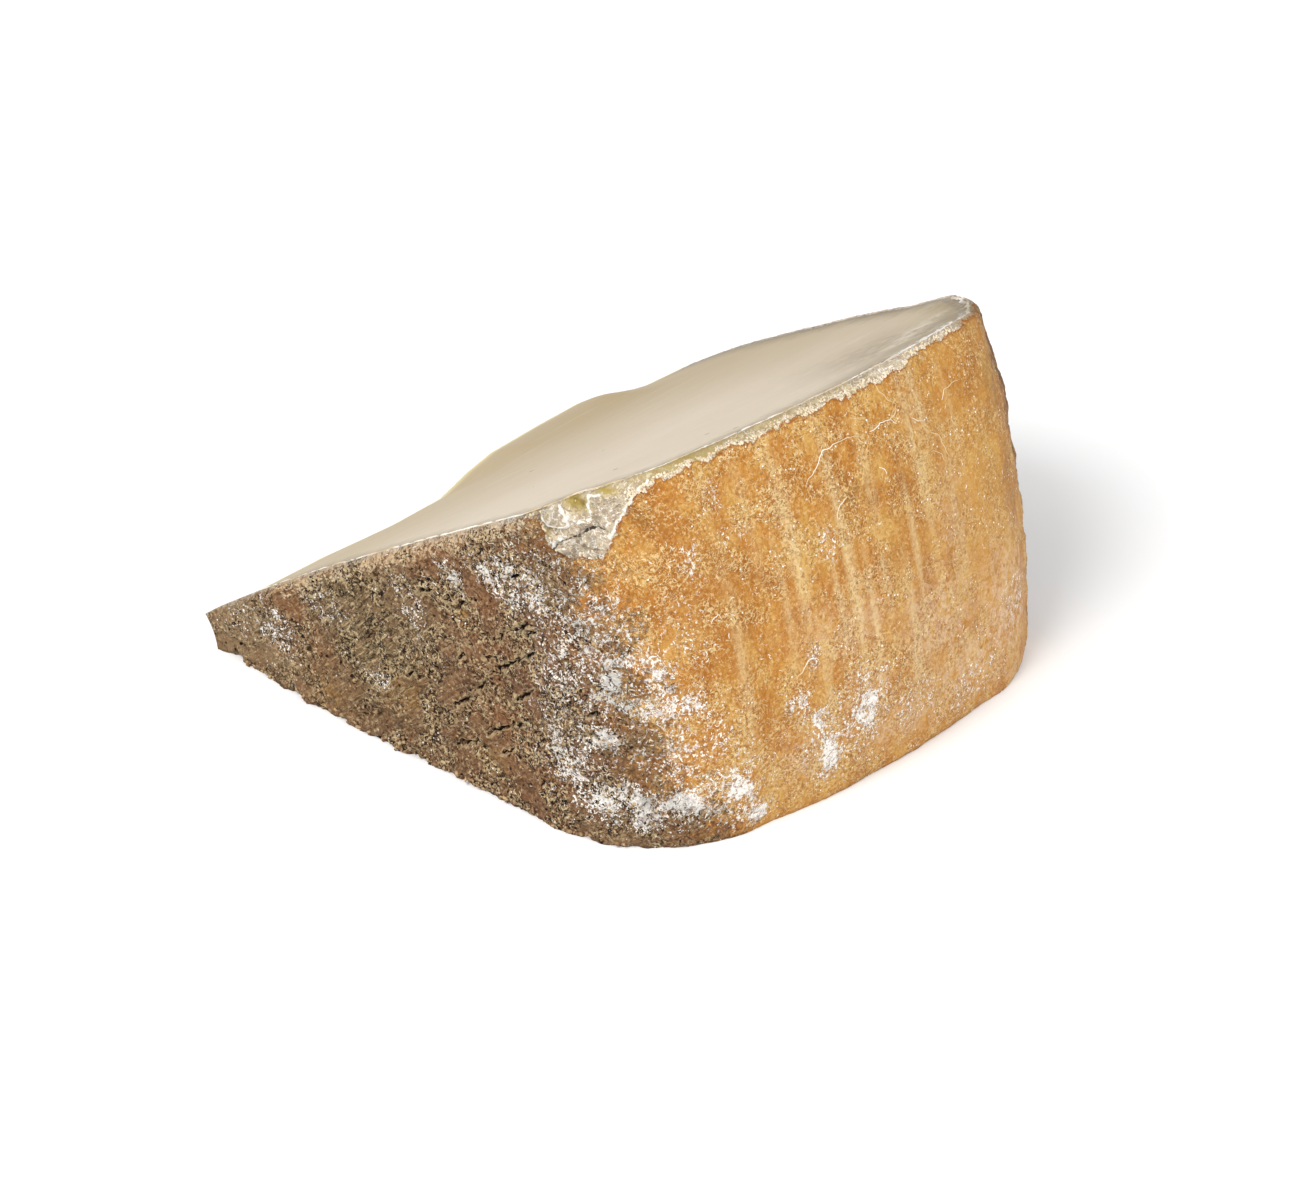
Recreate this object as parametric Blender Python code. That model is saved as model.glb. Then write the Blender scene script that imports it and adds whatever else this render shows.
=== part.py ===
"""A chunk of a pressed ewe's milk cheese: a slice of a tall round wheel, lying on one of its two cuts.

The chunk is modelled in the wheel's own terms. r is the distance from the wheel's axis, y runs along that
axis, and sweep goes from 0 on the lower cut to 1 on the upper one. The plan of the slice in r and y is a
closed outline: near flat face, rounded corner, heel, rounded corner, far flat face, and the blunt nose near
the wheel's centre. s is the length along that outline from the near corner of the nose, and t is the length
round the wheel from the lower cut. All lengths are in millimetres until the points are made.
"""

import math

import bmesh
import bpy
import numpy as np
from mathutils import Vector, noise
from mathutils.geometry import delaunay_2d_cdt

MM = 0.001

# the wheel that the chunk was cut from
WHEEL_RADIUS = 130.0
WHEEL_HEIGHT = 122.5
HEEL_BULGE = 3.25  # the heel stands out between its corners
HEEL_FLARE = 8.05  # the wheel is wider at the upper cut than at the lower one
NEAR_CORNER = 29.6  # radius between the near flat face and the heel
FAR_CORNER = 34.2
FACE_DOMING = 5.65  # each flat face swells towards the wheel's centre
OUTLINE_STEP = 0.5
OUTLINE_SOFTENING = 5.0  # how far the joins in the outline are rounded off
AXIS_TILT = 0.029  # the upper cut sits this much further along the axis for each mm of height

# the two cuts
CUT_ANGLE = 33.7
NOSE_STEEPENING = 4.3  # degrees more at the wheel's centre, so that the upper cut is slightly convex
NOSE_TAPER = 1.07
CUT_TWIST = -0.7  # degrees between the middle of the cut and 60 mm along the axis
CUT_SAG = 0.46

# the blunt nose, near the wheel's centre
NOSE_RADIUS = 10.0
NOSE_RAGGED, RAGGED_SIZE = 0.4, 13.0
NOSE_REACH = 17.0  # how far the nose's uneven upper edge runs back into the cut
NOSE_EDGE = (  # y along the axis, further back from the centre, rise of the upper edge
    (-70, 0.0, 0.0), (-63, 0.0, 0.0), (-54, 0.6, -1.0), (-36, 1.4, -1.0), (-18, 2.6, -1.9), (-4, 2.2, -1.5),
    (6, -0.6, 1.2), (14, -3.0, 2.7), (28, -4.2, 3.3), (40, -4.0, 3.6), (46, -2.4, 1.4), (54, 0.0, -0.3),
    (70, 0.6, -0.8),
)
NOSE_UNDERCUT, UNDERCUT_REACH = 1.6, 2.0  # the nose leans back towards its lower edge

# relief of the rind
HEEL_SPAN, HEEL_FADE = (118.0, 223.0), 12.0  # the smoother rind of the heel, along s
NOSE_FADE = 6.0  # the relief dies away this close to the nose
CRUST_THICKNESS = 0.8  # the rind stands this far outside the edge of the cut
SWELLS = (  # where the wheel isn't true: s, t, reach along s, reach along t, height
    (8, 0, 9, 6, -1.3), (42, 0, 30, 12, 0.4), (165, 0, 24, 14, -0.6),
    (202, 0, 18, 10, 1.5), (218, 34, 26, 22, -1.6), (276, 58, 30, 22, 1.5),
)
LUMP_HEIGHT, LUMP_SIZE = 0.9, 34.0
CRUST_HEIGHT, CRUST_SIZE = 0.55, 8.0
HEEL_RIPPLE, RIPPLE_PITCH, RIPPLE_LENGTH = 0.3, 9.0, 70.0
FACE_GRAIN, GRAIN_PITCH, GRAIN_LENGTH = 0.4, 4.6, 24.0  # ridges on the flat faces, along the upper cut
RIM_BEVEL, RIM_DEPTH, RIM_RAGGED = 0.9, 1.4, 0.6  # crumbled edge where the upper cut meets the rind
FOOT_BEVEL, FOOT_DEPTH = 0.3, 1.4
CRACK_DEPTH, CRACK_WIDTH = 1.1, 1.8
CRACK_WANDER, CRACK_TURNS = 0.9, 9.0
CRACKS = (  # from and to, as s and t, across the dry rind of the near flat face
    (69, 25, 81, 34), (81, 34, 93, 43), (76, 25, 93, 36), (66, 16, 73, 21),
    (66, 7, 85, 19), (71, 34, 76, 42), (83, 22, 92, 28), (78, 10, 83, 13),
)
CHIP_MIDDLE = (111.0, 66.5)  # s and t of the crust broken off at the near corner
CHIP_SIZE = (10.5, 7.5)
CHIP_DEPTH = 2.8
CHIP_LUMPS, CHIP_LUMP_SIZE = 0.8, 4.5

# spacing of the mesh
RIND_STEP = 2.4
CUT_STEP = 5.5
JITTER = 0.22
SHARP_ANGLE = 40.0
INSIDE_ONLY = 1  # the triangulation keeps only what is inside the ring
WELD = 1e-6  # metres

SLICE_MIDDLE = (59.60, 0.27)  # of the finished chunk, from the nose and the middle of the wheel's height
SEED = 11

RIND, PASTE = 0, 1
COLOURS = {"rind": (0.50, 0.28, 0.11, 1), "paste": (0.72, 0.62, 0.47, 1)}
ROUGHNESS = {"rind": 0.8, "paste": 0.5}


def smooth_step(low, high, value):
    share = np.clip((value - low) / (high - low), 0.0, 1.0)
    return share * share * (3.0 - 2.0 * share)


def bumps(a, b, size, channel, octaves=1):
    """Smooth noise from -1 to 1 over two lengths, one value for each pair."""
    points = (Vector((u / size, v / size, SEED + 7.3 * channel)) for u, v in zip(a, b))
    if octaves == 1:
        return np.array([noise.noise(p) for p in points])
    return np.array([noise.fractal(p, 0.9, 2.1, octaves) for p in points])


def arc(centre, radius, start, end):
    angles = np.radians(np.linspace(start, end, round(radius / OUTLINE_STEP)))
    return np.stack([centre[0] + radius * np.cos(angles), centre[1] + radius * np.sin(angles)], 1)


def rind_line():
    """The rind's part of the outline, from the nose's near corner round the heel to its far corner."""
    half = WHEEL_HEIGHT / 2
    sides = []
    for corner in (NEAR_CORNER, FAR_CORNER):
        r = np.arange(NOSE_RADIUS, WHEEL_RADIUS - corner, OUTLINE_STEP)
        sides.append(np.stack([r, half + FACE_DOMING * (1 - r / (WHEEL_RADIUS - corner))], 1))
    share = np.arange(0, 1, OUTLINE_STEP / (WHEEL_HEIGHT - NEAR_CORNER - FAR_CORNER))
    heel = np.stack([
        WHEEL_RADIUS + HEEL_BULGE * 4 * share * (1 - share),
        (NEAR_CORNER - half) * (1 - share) + (half - FAR_CORNER) * share,
    ], 1)
    line = np.concatenate([
        sides[0] * (1, -1),
        arc((WHEEL_RADIUS - NEAR_CORNER, NEAR_CORNER - half), NEAR_CORNER, -90, 0),
        heel[1:],
        arc((WHEEL_RADIUS - FAR_CORNER, half - FAR_CORNER), FAR_CORNER, 0, 90),
        sides[1][::-1],
    ])
    return softened(evenly(line, OUTLINE_STEP))


def evenly(line, step):
    lengths = lengths_along(line)
    places = np.linspace(0, lengths[-1], max(2, round(lengths[-1] / step) + 1))
    return np.stack([np.interp(places, lengths, line[:, axis]) for axis in (0, 1)], 1)


def lengths_along(line):
    return np.concatenate([[0.0], np.cumsum(np.hypot(*np.diff(line, axis=0).T))])


def softened(line):
    """A running average over OUTLINE_SOFTENING, which keeps both ends where they are."""
    reach = round(OUTLINE_SOFTENING / OUTLINE_STEP)
    padded = np.concatenate([2 * line[0] - line[reach:0:-1], line, 2 * line[-1] - line[-2:-reach - 2:-1]])
    window = np.hanning(2 * reach + 3)[1:-1]
    window /= window.sum()
    return np.stack([np.convolve(padded[:, axis], window, "valid") for axis in (0, 1)], 1)


class Outline:
    """The closed outline, read by the length s along it."""

    def __init__(self):
        rind = rind_line()
        nose = evenly(np.array([rind[-1], rind[0]]), OUTLINE_STEP)
        edge_y, set_back, _ = np.array(NOSE_EDGE).T
        ragged = NOSE_RAGGED * bumps(nose[:, 1], np.zeros(len(nose)), RAGGED_SIZE, 1, 3)
        nose[1:-1, 0] += (np.interp(nose[:, 1], edge_y, set_back) + ragged)[1:-1]
        self.line = np.concatenate([rind, nose[1:]])
        self.lengths = lengths_along(self.line)
        self.rind_length = lengths_along(rind)[-1]
        self.length = self.lengths[-1]
        ahead = np.gradient(self.line, axis=0)
        ahead /= np.hypot(*ahead.T)[:, None]
        self.outward = np.stack([ahead[:, 1], -ahead[:, 0]], 1)

    def at(self, s, table=None):
        table = self.line if table is None else table
        return np.stack([np.interp(s, self.lengths, table[:, axis]) for axis in (0, 1)], 1)

    def height(self, s):
        """How far the rind runs round the wheel at s, from the lower cut to the upper one."""
        r, y = self.at(s).T
        return r * cut_angle(r, y)


def cut_angle(r, y):
    inward = 1 - r / WHEEL_RADIUS
    along = y / 60.0
    degrees = CUT_ANGLE + NOSE_STEEPENING * inward**2 + NOSE_TAPER * inward
    return np.radians(degrees + CUT_TWIST * along + CUT_SAG * along**2)


def placed(r, y, sweep):
    """Points of the chunk, in millimetres: lying on its lower cut, nose towards -X."""
    angle = sweep * cut_angle(r, y)
    reach = r * (1 + HEEL_FLARE * np.sin(angle) / WHEEL_RADIUS)
    edge_y, _, edge_rise = np.array(NOSE_EDGE).T
    behind = np.maximum(r - NOSE_RADIUS, 0)
    near_nose = np.exp(-((behind / NOSE_REACH) ** 2))
    x = reach * np.cos(angle) - NOSE_RADIUS + NOSE_UNDERCUT * (1 - sweep) * np.exp(-behind / UNDERCUT_REACH)
    z = reach * np.sin(angle) + sweep * near_nose * np.interp(y, edge_y, edge_rise)
    return np.stack([x - SLICE_MIDDLE[0], y + AXIS_TILT * z - SLICE_MIDDLE[1], z], 1)


def crack_groove(s, t):
    """How much of a crack's depth is reached at each point, from 0 to 1."""
    groove = np.zeros(len(s))
    for s0, t0, s1, t1 in CRACKS:
        run = np.array([s1 - s0, t1 - t0], float)
        share = np.clip(((s - s0) * run[0] + (t - t0) * run[1]) / (run @ run), 0, 1)
        wander = CRACK_WANDER * np.sin(share * CRACK_TURNS + s0)
        away = np.hypot(s - s0 - share * run[0] - wander * 0.5, t - t0 - share * run[1] + wander)
        groove = np.maximum(groove, 1 - smooth_step(0.2, 1.0, away / CRACK_WIDTH))
    return groove


def chip_hollow(s, t):
    away = np.hypot((s - CHIP_MIDDLE[0]) / CHIP_SIZE[0], (t - CHIP_MIDDLE[1]) / CHIP_SIZE[1])
    return 1 - smooth_step(0.55, 1.05, away + 0.16 * bumps(s, t, CHIP_LUMP_SIZE, 2))


def relief(outline, s, t):
    """How far the rind stands outside its plain outline."""
    height = outline.height(s)
    far_nose = outline.rind_length
    on_rind = smooth_step(0, NOSE_FADE, s) * (1 - smooth_step(far_nose - NOSE_FADE, far_nose, s))
    heel = smooth_step(-HEEL_FADE, HEEL_FADE, s - HEEL_SPAN[0])
    heel *= 1 - smooth_step(-HEEL_FADE, HEEL_FADE, s - HEEL_SPAN[1])
    out = CRUST_THICKNESS + LUMP_HEIGHT * bumps(s, t, LUMP_SIZE, 3)
    for middle_s, middle_t, reach_s, reach_t, rise in SWELLS:
        out += rise * np.exp(-(((s - middle_s) / reach_s) ** 2) - ((t - middle_t) / reach_t) ** 2)
    out += CRUST_HEIGHT * (1 - 0.6 * heel) * bumps(s, t, CRUST_SIZE, 4, 3)
    out += HEEL_RIPPLE * heel * bumps(s, t * RIPPLE_PITCH / RIPPLE_LENGTH, RIPPLE_PITCH, 5, 2)
    out += FACE_GRAIN * (1 - heel) * bumps(height - t, s * GRAIN_PITCH / GRAIN_LENGTH, GRAIN_PITCH, 7, 2)
    out -= CRACK_DEPTH * crack_groove(s, t)
    out += (CHIP_LUMPS * bumps(s, t, CHIP_LUMP_SIZE, 8, 2) - CHIP_DEPTH) * chip_hollow(s, t)
    ragged = 1 + RIM_RAGGED * bumps(s, t, 3.0, 6)
    out -= RIM_BEVEL * ragged * (1 - smooth_step(0, RIM_DEPTH, height - t))
    out -= FOOT_BEVEL * ragged * (1 - smooth_step(0, FOOT_DEPTH, t))
    return out * on_rind


def moved_out(outline, s, t):
    """The points of the outline at s, moved outwards by the relief there: r and y."""
    return outline.at(s) + outline.at(s, outline.outward) * relief(outline, s, t)[:, None]


def scattered(low, high, step, rng):
    """Points in rows that are offset by half a step, each moved a little at random."""
    rows = np.arange(low[1] + step / 2, high[1], step * math.sqrt(3) / 2)
    columns = np.arange(low[0] + step / 2, high[0], step)
    grid = np.array([(u + (index % 2) * step / 2, v) for index, v in enumerate(rows) for u in columns])
    return grid + rng.uniform(-JITTER, JITTER, grid.shape) * step


def distance_to(points, ring):
    """The distance from each point to the nearest point of a closed ring."""
    return np.array([np.hypot(*(ring - p).T).min() for p in points])


def filled(ring, inner):
    """Triangles that fill a closed ring and use the inner points, with the ring's points first and kept."""
    points = [Vector(p) for p in np.concatenate([ring, inner])]
    sides = [(i, (i + 1) % len(ring)) for i in range(len(ring))]
    found, _, faces, _, _, _ = delaunay_2d_cdt(points, sides, [list(range(len(ring)))], INSIDE_ONLY, 1e-7)
    return np.array([tuple(p) for p in found]), faces


def rind_patch(outline):
    """The rind and the nose, unrolled flat in s and t: (s, t, triangles)."""
    rng = np.random.default_rng(SEED)
    corner = outline.rind_length
    top_s = np.concatenate([
        np.linspace(0, corner, round(corner / RIND_STEP) + 1),
        np.linspace(corner, outline.length, round((outline.length - corner) / RIND_STEP) + 1)[1:],
    ])
    top_t = outline.height(top_s)
    seam = np.linspace(0, top_t[0], 4)[1:-1]
    ring = np.concatenate([
        np.stack([top_s, np.zeros(len(top_s))], 1),
        np.stack([np.full(len(seam), outline.length), seam], 1),
        np.stack([top_s, top_t], 1)[::-1],
        np.stack([np.zeros(len(seam)), seam[::-1]], 1),
    ])
    edges = []
    for start, depth in ((0.0, FOOT_DEPTH), (1.0, -RIM_DEPTH)):
        edges.append(np.stack([top_s[1:-1], start * top_t[1:-1] + depth], 1))
    grid = scattered((0, 0), (outline.length, top_t.max()), RIND_STEP, rng)
    grid = grid[(grid[:, 1] > FOOT_DEPTH + 0.5 * RIND_STEP)]
    grid = grid[grid[:, 1] < outline.height(grid[:, 0]) - RIM_DEPTH - 0.5 * RIND_STEP]
    grid = grid[(grid[:, 0] > 0.5 * RIND_STEP) & (grid[:, 0] < outline.length - 0.5 * RIND_STEP)]
    points, faces = filled(ring, np.concatenate(edges + [grid]))
    return points, faces, top_s[:-1]


def cut_patch(ring):
    """One cut, filled inside its ring of r and y."""
    rng = np.random.default_rng(SEED + 1)
    grid = scattered(ring.min(axis=0), ring.max(axis=0), CUT_STEP, rng)
    grid = grid[inside(grid, ring)]
    grid = grid[distance_to(grid, ring) > 0.55 * CUT_STEP]
    return filled(ring, grid)


def inside(points, ring):
    """Whether each point is inside the ring, by how many of its sides a line from the point crosses."""
    start, end = ring, np.roll(ring, -1, axis=0)
    crossings = np.zeros(len(points), int)
    for (r0, y0), (r1, y1) in zip(start, end):
        spans = (points[:, 1] < y0) != (points[:, 1] < y1)
        if y0 != y1:
            crossings += spans & (points[:, 0] < r0 + (points[:, 1] - y0) * (r1 - r0) / (y1 - y0))
    return crossings % 2 == 1


def add_patch(bm, points, faces, paste):
    """Adds a patch's faces; paste says for each point whether it is on a cut or the nose."""
    made = [bm.verts.new(p * MM) for p in points]
    for face in faces:
        bm.faces.new([made[i] for i in face]).material_index = PASTE if all(paste[i] for i in face) else RIND


def chunk_mesh():
    outline = Outline()
    bm = bmesh.new()

    flat, faces, ring_s = rind_patch(outline)
    s, t = flat.T
    moved = moved_out(outline, s, t)
    add_patch(bm, placed(*moved.T, t / outline.height(s)), faces, s >= outline.rind_length)

    for sweep in (0.0, 1.0):
        ring_t = outline.height(ring_s) * sweep
        flat, faces = cut_patch(moved_out(outline, ring_s, ring_t))
        add_patch(bm, placed(*flat.T, np.full(len(flat), sweep)), faces, np.ones(len(flat), bool))

    bmesh.ops.remove_doubles(bm, verts=bm.verts, dist=WELD)
    bmesh.ops.recalc_face_normals(bm, faces=bm.faces)
    mesh = bpy.data.meshes.new("cheese_chunk")
    bm.to_mesh(mesh)
    bm.free()
    mesh.shade_smooth()
    mesh.set_sharp_from_angle(angle=math.radians(SHARP_ANGLE))
    return mesh


def cheese_material(name):
    material = bpy.data.materials.new(name)
    material.use_nodes = True
    shader = material.node_tree.nodes["Principled BSDF"]
    shader.inputs["Base Color"].default_value = COLOURS[name]
    shader.inputs["Roughness"].default_value = ROUGHNESS[name]
    shader.inputs["Metallic"].default_value = 0.0
    return material


def main():
    for old in list(bpy.data.objects):
        bpy.data.objects.remove(old)
    chunk = bpy.data.objects.new("cheese_chunk", chunk_mesh())
    for name in COLOURS:
        chunk.data.materials.append(cheese_material(name))
    bpy.context.scene.collection.objects.link(chunk)


main()
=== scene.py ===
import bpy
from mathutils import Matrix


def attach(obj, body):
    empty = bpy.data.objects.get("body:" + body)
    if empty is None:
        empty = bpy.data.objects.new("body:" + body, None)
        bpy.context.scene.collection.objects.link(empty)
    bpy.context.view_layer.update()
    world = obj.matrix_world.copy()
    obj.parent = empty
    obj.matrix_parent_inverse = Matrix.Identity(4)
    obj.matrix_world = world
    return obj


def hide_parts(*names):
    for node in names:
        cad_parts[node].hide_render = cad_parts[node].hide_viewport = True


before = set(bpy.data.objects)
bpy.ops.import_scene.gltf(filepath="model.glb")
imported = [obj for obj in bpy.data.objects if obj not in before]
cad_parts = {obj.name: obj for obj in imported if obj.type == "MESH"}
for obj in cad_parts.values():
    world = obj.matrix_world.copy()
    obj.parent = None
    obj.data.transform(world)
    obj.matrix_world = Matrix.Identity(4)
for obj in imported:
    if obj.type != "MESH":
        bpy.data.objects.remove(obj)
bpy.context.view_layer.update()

import math
from types import SimpleNamespace

import bpy
import numpy as np
from mathutils import Euler, Vector, noise
from mathutils.geometry import delaunay_2d_cdt

# A chunk of pressed ewe's milk cheese: a slice of a tall round wheel, lying on one of its two cuts.
# Lengths are in millimetres until the points are made. r is the distance from the wheel's axis and y
# runs along that axis. s runs round the slice's plan from the near corner of its nose: near flat face,
# heel, far flat face, nose. t runs round the wheel from the lower cut up to the upper one, and sweep is
# t's share, 0 to 1.

mm = 0.001
seed = 11
farAway = 9.0  # no distance to a crack or fold is counted past this


camera = {
    "azimuth": 45.204,  # degrees round from looking along +Y
    "elevation": 33.458,
    "distance": 1.6,
    "aim": (-0.003227, -0.00027, 0.006463),
    "lens": 223.1,
    "sensor": 36.0,
}


def makeCamera():
    turn, rise = math.radians(camera["azimuth"]), math.radians(camera["elevation"])
    back = Vector((math.sin(turn) * math.cos(rise), -math.cos(turn) * math.cos(rise), math.sin(rise)))
    data = bpy.data.cameras.new("camera")
    data.lens = camera["lens"]
    data.sensor_fit = "HORIZONTAL"
    data.sensor_width = camera["sensor"]
    data.clip_start = 0.05
    data.clip_end = 20
    view = bpy.data.objects.new("camera", data)
    view.location = Vector(camera["aim"]) + back * camera["distance"]
    view.rotation_euler = Euler((math.pi / 2 - rise, 0, turn))
    bpy.context.scene.collection.objects.link(view)
    bpy.context.scene.camera = view


studio = {
    "skyStrength": 0.62,
    "skyColour": (1.0, 1.0, 1.0, 1),
    "lampSize": 0.6,
    # each lamp: where it is, and its power
    "lamps": (
        ("keyLamp", (0.10, -0.75, 0.95), 9.6),
        ("leftLamp", (-0.85, -0.45, 0.55), 2.65),
        ("rightLamp", (0.85, 0.05, 0.5), 3.6),
    ),
    "floorSize": 6.0,
    "floorColour": (0.93, 0.93, 0.93, 1),
    "floorRoughness": 0.9,
}


def makeStudio():
    world = bpy.data.worlds.new("studio")
    world.use_nodes = True
    sky = world.node_tree.nodes["Background"]
    sky.inputs["Color"].default_value = studio["skyColour"]
    sky.inputs["Strength"].default_value = studio["skyStrength"]
    bpy.context.scene.world = world
    for name, place, power in studio["lamps"]:
        data = bpy.data.lights.new(name, "AREA")
        data.shape = "DISK"
        data.size = studio["lampSize"]
        data.energy = power
        lamp = bpy.data.objects.new(name, data)
        lamp.location = place
        lamp.rotation_euler = (-Vector(place)).to_track_quat("-Z", "Y").to_euler()
        bpy.context.scene.collection.objects.link(lamp)

    half = studio["floorSize"] / 2
    mesh = bpy.data.meshes.new("floor")
    corners = [(-half, -half, 0), (half, -half, 0), (half, half, 0), (-half, half, 0)]
    mesh.from_pydata(corners, [], [(0, 1, 2, 3)])
    floor = bpy.data.objects.new("floor", mesh)
    material = bpy.data.materials.new("floor")
    material.use_nodes = True
    shader = material.node_tree.nodes["Principled BSDF"]
    shader.inputs["Base Color"].default_value = studio["floorColour"]
    shader.inputs["Roughness"].default_value = studio["floorRoughness"]
    mesh.materials.append(material)
    bpy.context.scene.collection.objects.link(floor)
    bpy.context.scene.view_settings.view_transform = "Standard"


wheel = {
    "radius": 130.0,
    "height": 122.5,
    "heelBulge": 3.25,  # the heel stands out between its corners
    "heelFlare": 8.05,  # the wheel is wider at the upper cut than at the lower one
    "nearCorner": 29.6,  # radius between the near flat face and the heel
    "farCorner": 34.2,
    "faceDoming": 5.65,  # each flat face swells towards the wheel's centre
    "step": 0.5,
    "softening": 5.0,
    "axisTilt": 0.029,
}
cuts = {
    "angle": 33.7,
    "noseSteepening": 4.3,
    "noseTaper": 1.07,
    "twist": -0.7,
    "sag": 0.46,
    "middle": (59.60, 0.27),
}
nose = {
    "radius": 10.0,
    "ragged": 0.4,
    "raggedSize": 13.0,
    "reach": 17.0,
    "edge": (  # y along the axis, further back from the centre, rise of the upper edge
        (-70, 0.0, 0.0), (-63, 0.0, 0.0), (-54, 0.6, -1.0), (-36, 1.4, -1.0), (-18, 2.6, -1.9),
        (-4, 2.2, -1.5), (6, -0.6, 1.2), (14, -3.0, 2.7), (28, -4.2, 3.3), (40, -4.0, 3.6),
        (46, -2.4, 1.4), (54, 0.0, -0.3), (70, 0.6, -0.8),
    ),
    "undercut": 1.6,
    "undercutReach": 2.0,
}
cutLifts = ((125, 52, 8, -1.2), (104, 60, 8, 0.9))  # the upper cut's far corner: r, y, reach, rise


def smoothStep(low, high, value):
    share = np.clip((value - low) / (high - low), 0.0, 1.0)
    return share * share * (3.0 - 2.0 * share)


def bumps(a, b, size, channel, octaves=1):
    points = (Vector((u / size, v / size, seed + 7.3 * channel)) for u, v in zip(a, b))
    if octaves == 1:
        return np.array([noise.noise(p) for p in points])
    return np.array([noise.fractal(p, 0.9, 2.1, octaves) for p in points])


def hump(a, b, middleA, middleB, reachA, reachB):
    return np.exp(-(((a - middleA) / reachA) ** 2) - ((b - middleB) / reachB) ** 2)


def lengthsAlong(line):
    return np.concatenate([[0.0], np.cumsum(np.hypot(*np.diff(line, axis=0).T))])


def evenly(line, step):
    lengths = lengthsAlong(line)
    places = np.linspace(0, lengths[-1], max(2, round(lengths[-1] / step) + 1))
    return np.stack([np.interp(places, lengths, line[:, axis]) for axis in (0, 1)], 1)


def softened(line):
    reach = round(wheel["softening"] / wheel["step"])
    padded = np.concatenate([2 * line[0] - line[reach:0:-1], line, 2 * line[-1] - line[-2:-reach - 2:-1]])
    window = np.hanning(2 * reach + 3)[1:-1]
    window /= window.sum()
    return np.stack([np.convolve(padded[:, axis], window, "valid") for axis in (0, 1)], 1)


def arcPoints(centre, radius, start, end):
    angles = np.radians(np.linspace(start, end, round(radius / wheel["step"])))
    return np.stack([centre[0] + radius * np.cos(angles), centre[1] + radius * np.sin(angles)], 1)


def rindLine():
    half, full, near, far = wheel["height"] / 2, wheel["radius"], wheel["nearCorner"], wheel["farCorner"]
    sides = []
    for corner in (near, far):
        r = np.arange(nose["radius"], full - corner, wheel["step"])
        sides.append(np.stack([r, half + wheel["faceDoming"] * (1 - r / (full - corner))], 1))
    share = np.arange(0, 1, wheel["step"] / (wheel["height"] - near - far))
    heel = np.stack([
        full + wheel["heelBulge"] * 4 * share * (1 - share),
        (near - half) * (1 - share) + (half - far) * share,
    ], 1)
    return softened(evenly(np.concatenate([
        sides[0] * (1, -1),
        arcPoints((full - near, near - half), near, -90, 0),
        heel[1:],
        arcPoints((full - far, half - far), far, 0, 90),
        sides[1][::-1],
    ]), wheel["step"]))


def makeOutline():
    rind = rindLine()
    front = evenly(np.array([rind[-1], rind[0]]), wheel["step"])
    edgeY, setBack, _ = np.array(nose["edge"]).T
    ragged = nose["ragged"] * bumps(front[:, 1], np.zeros(len(front)), nose["raggedSize"], 1, 3)
    front[1:-1, 0] += (np.interp(front[:, 1], edgeY, setBack) + ragged)[1:-1]
    line = np.concatenate([rind, front[1:]])
    ahead = np.gradient(line, axis=0)
    ahead /= np.hypot(*ahead.T)[:, None]
    lengths = lengthsAlong(line)
    return {
        "line": line,
        "lengths": lengths,
        "rindLength": lengthsAlong(rind)[-1],
        "length": lengths[-1],
        "outward": np.stack([ahead[:, 1], -ahead[:, 0]], 1),
    }


outline = makeOutline()


def alongOutline(s, what="line"):
    return np.stack([np.interp(s, outline["lengths"], outline[what][:, axis]) for axis in (0, 1)], 1)


def cutAngle(r, y):
    inward = 1 - r / wheel["radius"]
    along = y / 60.0
    degrees = cuts["angle"] + cuts["noseSteepening"] * inward**2 + cuts["noseTaper"] * inward
    return np.radians(degrees + cuts["twist"] * along + cuts["sag"] * along**2)


def placed(r, y, sweep):
    angle = sweep * cutAngle(r, y)
    reach = r * (1 + wheel["heelFlare"] * np.sin(angle) / wheel["radius"])
    edgeY, _, edgeRise = np.array(nose["edge"]).T
    behind = np.maximum(r - nose["radius"], 0)
    nearNose = np.exp(-((behind / nose["reach"]) ** 2))
    x = reach * np.cos(angle) - nose["radius"]
    x = x + nose["undercut"] * (1 - sweep) * np.exp(-behind / nose["undercutReach"])
    z = reach * np.sin(angle) + sweep * nearNose * np.interp(y, edgeY, edgeRise)
    for middleR, middleY, size, rise in cutLifts:
        z = z + sweep**6 * rise * np.exp(-((r - middleR) ** 2 + (y - middleY) ** 2) / size**2)
    return np.stack([x - cuts["middle"][0], y + wheel["axisTilt"] * z - cuts["middle"][1], z], 1)


def rindHeight(s):
    r, y = alongOutline(s).T
    return r * cutAngle(r, y)


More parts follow.
